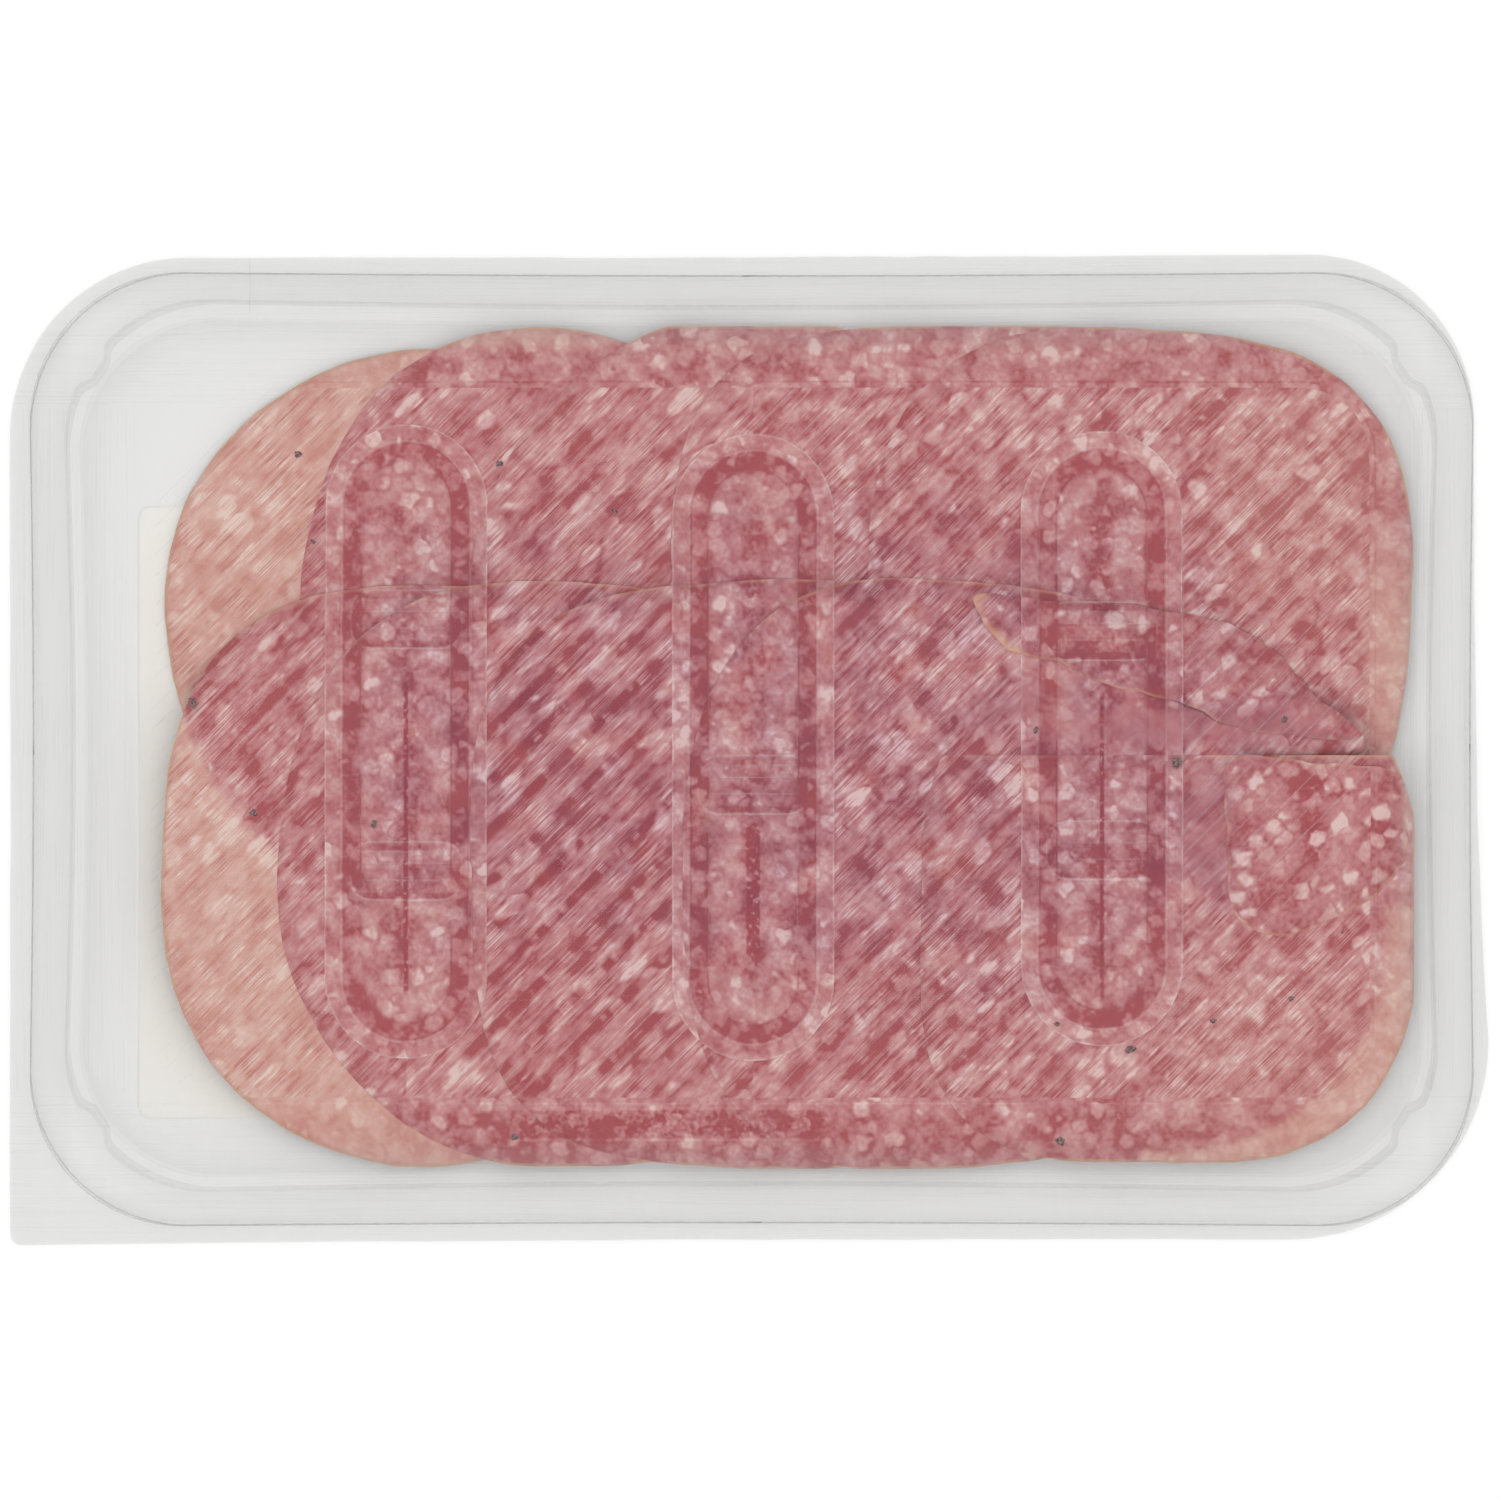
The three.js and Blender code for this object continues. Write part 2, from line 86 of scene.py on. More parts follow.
# Sections of the bead and of the step's two faces: how far outside the line, and how far up as a share
BEAD_SECTION = [(0.45, 0), (0.32, 0.75), (0.2, 1), (-0.2, 1), (-0.32, 0.75), (-0.45, 0)]
STEP_SECTION = [(0.12, 0), (0.02, 0.03), (-0.03, 0.15), (-0.22, 0.85), (-0.29, 0.97), (-0.42, 1)]
STEP_INSIDE = [(-0.67, 1), (-0.6, 0.9), (-0.43, 0.05), (-0.4, 0)]
PER_CORNER, PER_SIDE = 40, 56
# The flange's uneven trim: how many waves round it, how high, and their shift. Nicks along part of the top
TRIM_WAVES = [(9, 0.042, 1), (23, 0.03, 0), (41, 0.018, 2)]
TRIM_INSET = 0.08
NICKS_FROM, NICKS_TO, NICKS_ABOVE, NICK_DEPTH = 10.5, 39, 60, 0.16

SLOTS = [
    {"x": -46.3, "top": 43.9, "bottom": -41.6, "bars": [17.6, -16.3]},
    {"x": 0.5, "top": 42.6, "bottom": -41.9, "bars": [-4.7]},
    {"x": 47.5, "top": 43.0, "bottom": -39.9, "bars": [16.0, -13.5]},
]
SLOT_BORDER, SLOT_SHOULDER, SLOT_FLOOR = 10.9, 8.4, 5.9
SLOT_ROUNDING = 0.65  # how much of the slope down to the floor is rounded at its ends
BARS = [(slot["x"], y) for slot in SLOTS for y in slot["bars"]]
BAR_FOOT, BAR_TOP = (7.3, 3.8), (6.0, 1.6)  # half length and half width
BAR_ROUNDING = 0.7  # the corners' radius, as a share of the half width
BAR_BELOW_BASE = 0.2
RIB_PITCH = 4.778
RIB_START, RIB_CREST, RIB_FALL, RIB_END = 0.68, 0.98, 1.24, 1.32
RIB_SPLITS = [RIB_START, 0.78, 0.88, RIB_CREST, 1.11, RIB_FALL, 1.28, RIB_END]
RIBBED_FROM, RIB_FADE = 0.8, 0.6  # how far inside the base's edge ribs start, and reach full height in
RIB_SHIFT = 0.012  # where the count of ribs starts for the marks on the meat, as a share of the pitch

LAYER, SLICE_THICKNESS = 1.25, 1.1


def cut(at, half, square, layer, **more):
    """A slice: middle, half sizes, squareness, and layer counted up from the film. Its top or bottom half
    may have a squareness to the left and one to the right, and a height of its own."""
    return {"at": at, "half": half, "square": square, "layer": layer, **more}


SLICES = {
    "slice_upper_1": cut((-43.2, 17.0), (35.7, 37.3), 2.05, 0),
    "slice_upper_2": cut((-27.6, 19.9), (33.6, 37.4), 2.0, 1),
    "slice_upper_3": cut((-1.3, 19.6), (36.2, 38.4), 2.1, 2, top=(2.1, 2.7, 38.4)),
    "slice_upper_4": cut((25.7, 19.7), (36.2, 38.4), 2.1, 3, top=(3.2, 3.2, 38.1)),
    "slice_upper_5": cut((52.8, 18.2), (36.6, 38.9), 2.5, 4, top=(3.0, 2.8, 38.9)),
    "slice_lower_1": cut((-44.1, -18.1), (35.8, 38.4), 2.0, 3, top=(2.6, 2.6, 40.2)),
    "slice_lower_2": cut((-27.0, -18.6), (36.1, 38.4), 2.0, 4, top=(2.8, 2.8, 41.0), bottom=(2.0, 3.0, 38.0)),
    "slice_lower_3": cut((-1.3, -16.5), (36.2, 39.7), 2.1, 5, top=(2.9, 2.9, 39.6), bottom=(3.2, 3.2, 39.7)),
    "slice_lower_4": cut((27.1, -16.5), (36.2, 39.7), 2.1, 6, top=(2.7, 2.7, 39.7), bottom=(3.2, 3.2, 39.7)),
    "slice_lower_5": cut((56.6, -20.9), (33.8, 35.3), 2.7, 7, bottom=(3.2, 2.7, 35.3), fold=-0.7),
}
FLAPS = {
    "slice_flap_1": {"layer": 7, "points": [
        (30.5, 20.9), (39, 20.2), (47.4, 19.9), (60.9, 18), (69.3, 14.6), (76, 7.8),
        (82.2, 1.6), (66.3, 2.9), (58.2, 6.4), (48.7, 8.6), (42, 11.6), (33.9, 14.2),
    ]},
    "slice_flap_2": {"layer": 8, "points": [
        (64.7, -1.5), (75.7, -1.6), (87, -3), (88.2, -7), (88.6, -13.5),
        (86, -18.2), (78.4, -23), (70.3, -25), (65, -20.9), (64.4, -11),
    ]},
}
FLAP_SLANT = (33.9, 17.5, -0.31)  # a point of the line that parts the first flap lengthwise, and its slope

# ---- Outlines ----


def smooth(values, low, high):
    """0 below low, 1 above high, and smooth between."""
    share = np.clip((values - low) / (high - low), 0, 1)
    return share * share * (3 - 2 * share)


def waves(angle, rows, number=1):
    """Sines added up: how many in a turn, how high, and the shift that the number multiplies."""
    return sum(height * np.sin(count * angle + shift * number) for count, height, shift in rows)


def grown(outline, distance):
    """An outline about the origin, moved out all round. A negative distance shrinks it."""
    corners = [
        (x + math.copysign(distance, x), y + math.copysign(distance, y), max(radius + distance, 0.2))
        for x, y, radius in outline["corners"]
    ]
    return {**outline, "corners": corners}


def between(first, second, share):
    """The outline a share of the way from the first to the second."""
    corners = [
        tuple(a + (b - a) * share for a, b in zip(one, two))
        for one, two in zip(first["corners"], second["corners"])
    ]
    return {**first, "corners": corners, "bow": first["bow"] * (1 - share) + second["bow"] * share}


def corner_point(outline, k, share):
    """A point on corner k, with the ledge's notch bitten in where the outline has one."""
    x, y, radius = outline["corners"][k]
    sign_x = 1 if k in (0, 3) else -1
    sign_y = 1 if k < 2 else -1
    from_short_side = 90 * (share if k % 2 == 0 else 1 - share)
    bite = smooth(min(from_short_side - NOTCH_FROM, NOTCH_TO - from_short_side), 0, NOTCH_SLOPE)
    reach = radius - outline["notch"] * bite
    angle = math.radians(90 * (k + share))
    return (
        x - sign_x * radius + reach * math.cos(angle),
        y - sign_y * radius + reach * math.sin(angle),
    )


def side_point(outline, k, share):
    """A point on the side that leads to corner k. What it moves across by comes mostly early."""
    from_x, from_y = corner_point(outline, (k + 3) % 4, 1)
    to_x, to_y = corner_point(outline, k, 0)
    across = 1 - (1 - share) ** 3
    bow = outline["bow"] * math.sin(math.pi * share)
    if k % 2 == 0:
        x = from_x + (to_x - from_x) * across - math.copysign(bow, to_x)
        return (x, from_y + (to_y - from_y) * share)
    y = from_y + (to_y - from_y) * across - math.copysign(bow, to_y)
    return (from_x + (to_x - from_x) * share, y)


def loop_of(outline, per_corner=PER_CORNER, per_side=PER_SIDE):
    """The outline as an array of points, anticlockwise."""
    points = []
    for k in range(4):
        points += [side_point(outline, k, i / per_side) for i in range(per_side)]
        points += [corner_point(outline, k, i / per_corner) for i in range(per_corner)]
    return np.array(points)


def trimmed(loop):
    """The flange's cut edge: a little uneven all round, and rough along part of the top."""
    angle = np.arctan2(loop[:, 1], loop[:, 0])
    out = loop / np.linalg.norm(loop, axis=1)[:, None]
    rough = (loop[:, 1] > NICKS_ABOVE) & (loop[:, 0] > NICKS_FROM) & (loop[:, 0] < NICKS_TO)
    nicks = NICK_DEPTH * np.abs(np.sin(1.9 * loop[:, 0]) * np.sin(0.83 * loop[:, 0] + 1))
    return loop + out * (np.where(rough, nicks, 0) + waves(angle, TRIM_WAVES) - TRIM_INSET)[:, None]


def inside(loop, points):
    """Which points lie inside a closed loop."""
    x, y = points[:, 0][:, None], points[:, 1][:, None]
    ax, ay = loop[:, 0][None], loop[:, 1][None]
    bx, by = np.roll(ax, -1), np.roll(ay, -1)
    rise = np.where(by == ay, 1e-12, by - ay)
    crosses = ((ay > y) != (by > y)) & (x < (bx - ax) * (y - ay) / rise + ax)
    return crosses.sum(1) % 2 == 1


def depth_in(loop, points):
    """How far each point lies inside an evenly spaced closed loop, below zero where it lies outside."""
    from_x = points[:, 0][:, None] - loop[:, 0][None]
    from_y = points[:, 1][:, None] - loop[:, 1][None]
    near = np.argmin(from_x * from_x + from_y * from_y, axis=1)
    distances = []
    for start in (near - 1, near):
        one, two = loop[start], loop[(start + 1) % len(loop)]
        run, away = two - one, points - one
        share = np.clip((away * run).sum(1) / np.maximum((run * run).sum(1), 1e-12), 0, 1)
        distances.append(np.linalg.norm(away - share[:, None] * run, axis=1))
    distance = np.minimum(*distances)
    return np.where(inside(loop, points), distance, -distance)


def spaced(loop, spacing):
    """The closed loop again, with its points evenly spaced."""
    closed = np.concatenate([loop, loop[:1]])
    length = np.concatenate([[0], np.cumsum(np.linalg.norm(np.diff(closed, axis=0), axis=1))])
    count = max(int(length[-1] / spacing), 12)
    at = np.arange(count) * length[-1] / count
    return np.stack([np.interp(at, length, closed[:, k]) for k in range(2)], axis=1)


BASE_LOOP = spaced(loop_of(BASE_EDGE, 12, 1), 1.0)


def slot_reach(points):
    """How far each point lies from the axis of the nearest slot, and that slot's number."""
    reaches = []
    for slot in SLOTS:
        high = slot["top"] - SLOT_BORDER
        low = slot["bottom"] + SLOT_BORDER
        past = np.maximum(np.maximum(points[:, 1] - high, low - points[:, 1]), 0)
        reaches.append(np.hypot(points[:, 0] - slot["x"], past))
    return np.min(reaches, axis=0), np.argmin(reaches, axis=0)


def slot_line(slot, reach):
    """The stadium at a distance from a slot's axis."""
    ends = SLOT_BORDER - reach
    left, right = slot["x"] - reach, slot["x"] + reach
    return loop_of(round_rect(left, right, slot["top"] - ends, slot["bottom"] + ends, reach), 9, 0)


# ---- Meshes ----


WELD_GAP = 0.002  # in millimetres


def welded(mesh):
    """Joins the mesh's points that lie together."""
    work = bmesh.new()
    work.from_mesh(mesh)
    bmesh.ops.remove_doubles(work, verts=work.verts, dist=WELD_GAP * MM)
    work.to_mesh(mesh)
    work.free()


def new_piece(name, points, faces, finish, attributes=None, sharp=30, weld=True):
    """A mesh piece from points in millimetres. Edges sharper than the given angle stay crisp."""
    mesh = bpy.data.meshes.new(name)
    mesh.from_pydata((np.asarray(points, float) * MM).tolist(), [], [list(map(int, f)) for f in faces])
    mesh.update()
    for key, values in (attributes or {}).items():
        values = np.asarray(values, np.float32)
        kind, item = ("FLOAT_VECTOR", "vector") if values.ndim == 2 else ("FLOAT", "value")
        mesh.attributes.new(key, kind, "POINT").data.foreach_set(item, values.ravel())
    if weld:
        welded(mesh)
    mesh.materials.append(finish)
    mesh.shade_smooth()
    mesh.set_sharp_from_angle(angle=math.radians(sharp))
    piece = bpy.data.objects.new(name, mesh)
    bpy.context.scene.collection.objects.link(piece)
    return piece


def strip(lower, upper, count):
    """Quads between two rings of vertices that start at these numbers."""
    return [
        (lower + i, lower + (i + 1) % count, upper + (i + 1) % count, upper + i) for i in range(count)
    ]


def filled(loops, lines=(), extra=()):
    """A flat area inside the first loop, split into triangles along every loop and line."""
    points, edges = [], []
    for loop in loops:
        start = len(points)
        points += [tuple(p) for p in loop]
        edges += [(start + i, start + (i + 1) % len(loop)) for i in range(len(loop))]
    for a, b in lines:
        edges.append((len(points), len(points) + 1))
        points += [tuple(a), tuple(b)]
    points += [tuple(p) for p in extra]
    found = delaunay_2d_cdt([Vector(p) for p in points], edges, [], 1, 1e-5, False)
    flat = np.array([tuple(p) for p in found[0]])
    triangles = np.array([tuple(f) for f in found[2]])
    a, b, c = (flat[triangles[:, k]] for k in range(3))
    turn = (b[:, 0] - a[:, 0]) * (c[:, 1] - a[:, 1]) - (b[:, 1] - a[:, 1]) * (c[:, 0] - a[:, 0])
    triangles[turn < 0] = triangles[turn < 0][:, ::-1]
    middle = (a + b + c) / 3
    keep = inside(np.asarray(loops[0]), middle) & (np.abs(turn) > 1e-9)
    return flat, triangles[keep]


# ---- Tray ----


def wall_rise(run):
    """How far up the wall is at a share of its run, as a smooth curve through WALL_CURVE."""
    shares, rises = zip(*WALL_CURVE)
    fine = np.linspace(0, 1, 201)
    rough = np.interp(fine, shares, rises)
    padded = np.pad(rough, 6, mode="reflect", reflect_type="odd")
    smooth = np.convolve(padded, np.ones(13) / 13, "valid")
    smooth[0], smooth[-1] = 0, 1
    return float(np.interp(run, fine, smooth))


def wall_rings(skin):
    """The rings of the wall, from its foot to the base, for a skin that far inside the outer one."""
    foot = grown(WALL_FOOT, -skin)
    rings = []
    for run in WALL_RUNS:
        ring = between(foot, BASE_EDGE, run)
        rings.append((loop_of(ring), LEDGE_Z - skin + (BASE_Z - LEDGE_Z) * wall_rise(run)))
    return rings


def rib_height(points):
    """The ribs' rounded section, at 45 degrees, fading out at the base's edge and the slots' borders."""
    phase = ((points[:, 0] - points[:, 1]) / math.sqrt(2) / RIB_PITCH - RIB_START) % 1
    rise = smooth(phase, 0, RIB_CREST - RIB_START)
    fall = smooth(RIB_END - RIB_START - phase, 0, RIB_END - RIB_FALL)
    edge = np.clip((depth_in(BASE_LOOP, points) - RIBBED_FROM) / RIB_FADE, 0, 1)
    border = np.clip((slot_reach(points)[0] - SLOT_BORDER) / RIB_FADE, 0, 1)
    return RIB_HEIGHT * np.minimum(rise, fall) * np.minimum(edge, border)


def outside_bar(points, bar, size, skin=0.0):
    """How far each point lies outside a bar's rounded outline, below zero within it."""
    half = np.array(size) - skin
    radius = BAR_ROUNDING * half[1]
    past = np.abs(points - np.array(bar)) - (half - radius)
    return np.linalg.norm(np.maximum(past, 0), axis=1) - radius + np.minimum(past.max(1), 0)


def bar_height(points, skin):
    """Height of the bars over the slots' floor level, and below it everywhere else."""
    top, foot = BASE_Z - BAR_BELOW_BASE - skin, BASE_Z - SLOT_DEPTH - skin
    height = np.full(len(points), foot - 1.0)
    for bar in BARS:
        past_top = outside_bar(points, bar, BAR_TOP, skin)
        past_foot = outside_bar(points, bar, BAR_FOOT, skin)
        near = 1 - np.maximum(past_top, 0) / np.maximum(past_top - past_foot, 1e-6)
        height = np.maximum(height, foot + (top - foot) * smooth(near, 0, 1))
    return height


def base_height(points, skin):
    """Height of the base: flat, sunk in the slots, bridged by the bars, ribbed on the outer skin."""
    reach = slot_reach(points)[0]
    floor, shoulder = SLOT_FLOOR + skin / 2, SLOT_SHOULDER + skin
    sunk = np.clip((shoulder - reach) / (shoulder - floor), 0, 1)
    sunk = (1 - SLOT_ROUNDING) * sunk + SLOT_ROUNDING * smooth(sunk, 0, 1)
    height = BASE_Z - skin - SLOT_DEPTH * sunk
    height = np.where(reach < shoulder + 0.01, np.maximum(height, bar_height(points, skin)), height)
    return height + rib_height(points) if skin == 0 else height


def rib_lines():
    """The lines along each rib, from side to side of the base."""
    lines = []
    zone = loop_of(grown(BASE_EDGE, -0.3), 12, 1)
    steps = np.linspace(-125, 125, 1001)
    for across in [(k + share) * RIB_PITCH for k in range(-22, 22) for share in RIB_SPLITS]:
        line = np.stack([steps + across, steps - across], axis=1) / math.sqrt(2)
        shown = inside(zone, line) & (slot_reach(line)[0] > SLOT_BORDER - 0.3)
        ends = np.flatnonzero(np.diff(np.concatenate([[0], shown.astype(int), [0]])))
        lines += [(line[a], line[b - 1]) for a, b in zip(ends[::2], ends[1::2]) if b - a > 2]
    return lines


def slot_grid(spacing):
    """A fine grid of points over the slots, where the bars lie."""
    points = []
    for slot in SLOTS:
        across = np.arange(-SLOT_SHOULDER, SLOT_SHOULDER + 0.1, spacing)
        along = np.arange(slot["bottom"] + 2, slot["top"] - 2, spacing)
        grid = np.stack(np.meshgrid(across + slot["x"], along), axis=2).reshape(-1, 2)
        near_bar = np.min([np.abs(grid[:, 1] - y) for y in slot["bars"]], axis=0) < 5
        points.append(grid[near_bar & (slot_reach(grid)[0] < SLOT_SHOULDER - 0.1)])
    return np.concatenate(points)


def base_skin(edge, skin):
    """The base inside its edge, as flat points and triangles with their heights."""
    shoulder, floor = SLOT_SHOULDER + skin, SLOT_FLOOR + skin / 2
    steps = [SLOT_BORDER + RIB_FADE, SLOT_BORDER, shoulder] if skin == 0 else [shoulder]
    steps += [shoulder + (floor - shoulder) * share for share in (0.15, 0.35, 0.5, 0.65, 0.85, 1)]
    loops = [edge]
    if skin == 0:
        fade = (RIBBED_FROM, RIBBED_FROM + RIB_FADE)
        loops += [loop_of(grown(BASE_EDGE, -inset), 10, 1) for inset in fade]
    loops += [slot_line(slot, reach) for slot in SLOTS for reach in steps]
    lines = rib_lines() if skin == 0 else []
    flat, triangles = filled(loops, lines, slot_grid(0.6))
    return flat, triangles, base_height(flat, skin)


def tray_rings(edge):
    """The tray's rings with their heights, up its outside and down its inside, and how many are outside."""
    rings = [(edge, TRAY_FOOT), (edge, FLANGE_TOP)]

    def section(line, low, high, rows):
        return [(loop_of(grown(line, out)), low + (high - low) * rise) for out, rise in rows]

    rings += section(BEAD_LINE, FLANGE_TOP, BEAD_TOP, BEAD_SECTION)
    rings += section(STEP_LINE, FLANGE_TOP, LEDGE_Z, STEP_SECTION)
    rings += wall_rings(0)
    outer = len(rings)
    return rings + wall_rings(WALL)[::-1] + section(STEP_LINE, TRAY_FOOT, LEDGE_Z - WALL, STEP_INSIDE), outer


def tray_mesh():
    """The whole tray as one closed shell: flange, bead, step, ledge, wall and base, outside and in."""
    edge = trimmed(loop_of(OUTLINE))
    rings, outer = tray_rings(edge)
    count = len(edge)
    points = [np.column_stack([loop, np.full(count, z)]) for loop, z in rings]
    faces = []
    for k in range(len(rings)):
        if k != outer - 1:  # the two skins meet the base there
            faces += strip(k * count, ((k + 1) % len(rings)) * count, count)
    start = count * len(rings)
    for skin, side in ((0, 1), (WALL, -1)):
        flat, triangles, height = base_skin(loop_of(BASE_EDGE), skin)
        points.append(np.column_stack([flat, height]))
        faces += (triangles[:, ::side] + start).tolist()
        start += len(flat)
    points = np.concatenate(points)
    ring = np.arange(start) // count
    zones = zone_fields(points[:, :2])
    return points, faces, {
        "seal": (ring >= 2) & (ring < 2 + len(BEAD_SECTION)),
        "base": ring >= len(rings),
        "base_depth": depth_in(BASE_LOOP, points[:, :2]),
        **{key: zones[key] for key in ("slot_reach", "bar_in", "bar_up")},
    }


# ---- Slices ----


class Field:
    """Heights sampled on a grid over the pack, in millimetres."""

    def __init__(self, spacing, half=(93, 62)):
        self.spacing = spacing
        self.xs = np.arange(-half[0], half[0] + spacing / 2, spacing)
        self.ys = np.arange(-half[1], half[1] + spacing / 2, spacing)
        self.values = np.full((len(self.ys), len(self.xs)), np.nan)

    def at(self, points):
        """The height at each point, blended from the four samples round it."""
        u = np.clip((points[:, 0] - self.xs[0]) / self.spacing, 0, len(self.xs) - 1.001)
        v = np.clip((points[:, 1] - self.ys[0]) / self.spacing, 0, len(self.ys) - 1.001)
        i, j = u.astype(int), v.astype(int)
        a, b = u - i, v - j
        z = self.values
        low = z[j, i] * (1 - a) + z[j, i + 1] * a
        high = z[j + 1, i] * (1 - a) + z[j + 1, i + 1] * a
        return low * (1 - b) + high * b

    def spread(self, rounds):
        """Fills the samples that are missing from those beside them."""
        missing = np.isnan(self.values)
        self.values[missing] = np.nanmean(self.values)
        for _ in range(rounds):
            self.values[missing] = self.softened(self.values)[missing]

    def soften(self, rounds):
        for _ in range(rounds):
            self.values = self.softened(self.values)

    @staticmethod
    def softened(z):
        wide = np.pad(z, 1, mode="edge")
        across = (wide[:, :-2] + 2 * wide[:, 1:-1] + wide[:, 2:]) / 4
        return (across[:-2] + 2 * across[1:-1] + across[2:]) / 4


def surface_of(node):
    """The CAD node's surface, for rays in metres."""
    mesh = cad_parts[node].data
    mesh.calc_loop_triangles()
    corners = [v.co.copy() for v in mesh.vertices]
    return BVHTree.FromPolygons(corners, [tuple(t.vertices) for t in mesh.loop_triangles])


def height_over(surface, x, y, up):
    """The first height that a ray straight up, or straight down, meets, in millimetres, or None."""
    far = 0.03  # clear of the pack
    start = Vector((x * MM, y * MM, -far if up else far))
    hit = surface.ray_cast(start, Vector((0, 0, 1 if up else -1)))[0]
    return None if hit is None else hit.z / MM


def shared_sheet():
    """The sheet that all the slices follow, each a layer apart, read from the CAD slices."""
    field = Field(2.0)
    total = np.zeros_like(field.values)
    times = np.zeros_like(field.values)
    for name, slice_ in {**SLICES, **FLAPS}.items():
        surface = surface_of(name)
        low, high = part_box(name)
        for j, y in enumerate(field.ys):
            for i, x in enumerate(field.xs):
                if not (low.x < x * MM < high.x and low.y < y * MM < high.y):
                    continue
                bottom = height_over(surface, x, y, up=True)
                top = height_over(surface, x, y, up=False)
                # the rounded rims don't count
                if bottom is not None and abs(top - bottom - SLICE_THICKNESS) < 0.02:
                    total[j, i] += bottom - slice_["layer"] * LAYER
                    times[j, i] += 1
    field.values = np.where(times > 0, total / np.maximum(times, 1), np.nan)
    field.spread(60)
    field.soften(3)
    return field


def tray_ceiling():
    """The height of the tray's inside, read from the CAD tray."""
    field = Field(1.0)
    surface = surface_of("tray")
    for j, y in enumerate(field.ys):
        for i, x in enumerate(field.xs):
            z = height_over(surface, x, y, up=True)
            field.values[j, i] = TRAY_FOOT if z is None else z
    return field


# The fourth slice of the lower row fills the gap between the folded one and the flap above it
TONGUE_SLICE, TONGUE_FROM, TONGUE_AT, TONGUE_HALF, TONGUE_REACH = 8, 45.0, 1.5, 4.0, 21.0
# The slices' uneven outlines: how many waves in a turn, how high, and the shift from slice to slice
OVAL_WAVES = [(3, 1, 1.7), (5, 0.7, 2.9), (17, 0.11, 1), (31, 0.08, 2), (57, 0.05, 3)]
OVAL_UNEVEN = 0.011
FLAP_WAVES = [(0.9, 0.12, 1), (0.37, 0.1, 2)]


def oval(slice_, number, count=240):
    """An uneven oval with a fine ragged edge. Its squareness is the power of the superellipse."""
    angle = np.arange(count) * 2 * math.pi / count
    c, s = np.cos(angle), np.sin(angle)
    plain = (slice_["square"], slice_["square"], slice_["half"][1])
    upper, lower = slice_.get("top", plain), slice_.get("bottom", plain)
    left, right, half_y = (np.where(s > 0, one, other) for one, other in zip(upper, lower))
    square = np.where(c < 0, left, right)
    power = np.abs(c) ** square + np.abs(s) ** square
    scale = power ** (-1 / square) * (1 + OVAL_UNEVEN * waves(angle, OVAL_WAVES, number))
    x = slice_["at"][0] + slice_["half"][0] * c * scale
    y = slice_["at"][1] + half_y * s * scale
    if number == TONGUE_SLICE:
        tongue = TONGUE_REACH * np.exp(-(((y - TONGUE_AT) / TONGUE_HALF) ** 4))
        x = x + np.where(x > TONGUE_FROM, tongue, 0)
    return np.stack([x, np.minimum(y, slice_.get("fold", 1e9))], axis=1)


def flap_loop(flap, number, steps=14):
    """A smooth closed curve through a flap's points, with a fine ragged edge."""
    p = np.array(flap["points"], float)
    points = []
    for k in range(len(p)):
        a, b, c, d = p[k - 1], p[k], p[(k + 1) % len(p)], p[(k + 2) % len(p)]
        for t in np.arange(steps) / steps:
            points.append(0.5 * (
                2 * b + (c - a) * t + (2 * a - 5 * b + 4 * c - d) * t**2 + (3 * b - a - 3 * c + d) * t**3
            ))
    points = np.array(points)
    side = np.roll(points, -1, axis=0) - np.roll(points, 1, axis=0)
    side /= np.linalg.norm(side, axis=1)[:, None]
    normal = np.stack([side[:, 1], -side[:, 0]], axis=1)
    return points + normal * waves(np.arange(len(points)), FLAP_WAVES, number)[:, None]


def held_in(points, margin):
    """Points moved in where they lie past the wall's foot, less a margin."""
    right, top, radius = WALL_FOOT["corners"][0]
    left, bottom, _ = WALL_FOOT["corners"][2]
    middle = np.array([(left + right) / 2, (top + bottom) / 2])
    half = np.array([(right - left) / 2, (top - bottom) / 2]) - margin
    away = points - middle
    past = np.abs(away) - (half - radius)
    corner = np.maximum(past, 0)
    length = np.maximum(np.linalg.norm(corner, axis=1), 1e-9)
    over = np.maximum(length - radius, 0)
    back = corner / length[:, None] * over[:, None] * np.sign(away)
    return points - back


def hex_points(loop, spacing, margin):
    """A staggered grid of points inside a loop, clear of its edge."""
    low, high = loop.min(0), loop.max(0)
    rows = np.arange(low[1], high[1], spacing * math.sqrt(3) / 2)
    points = []
    for j, y in enumerate(rows):
        xs = np.arange(low[0], high[0], spacing) + (spacing / 2 if j % 2 else 0)
        points.append(np.stack([xs, np.full(len(xs), y)], axis=1))
    points = np.concatenate(points)
    return points[depth_in(loop, points) > margin]


WALL_GAP = 0.75  # how far the slices stay from the wall's foot
EDGE_RADIUS = 0.55
PRESSED_EDGE = 2.6  # how far a rim that lies on meat takes to thin out
SETTLED = 0.11  # how far such a rim sinks in
SLICE_GRID = 1.15
DRAPE = 7.0  # how far from its rim a slice bends down to what lies under it
DRAPE_SHARE = 0.85  # how much of the gap it takes up
DEEPEST = 3  # the most layers that it bends down
BRIDGED = 3.5  # over more empty layers than this it stays level
BEYOND = 6  # how many layers lower a slice counts outside its own edge
THIN_RIM, BARE_RIM = 0.03, 0.1  # the rim's thickness on meat and where it is bare, as a share
CLEAR_OF_TRAY, CLEAR_OF_FILM, THINNEST = 0.08, 0.05, 0.02


def above_slant(points):
    """How far each point lies above the line that parts the first flap lengthwise."""
    x, y, slope = FLAP_SLANT
    return points[:, 1] - (y + slope * (points[:, 0] - x))


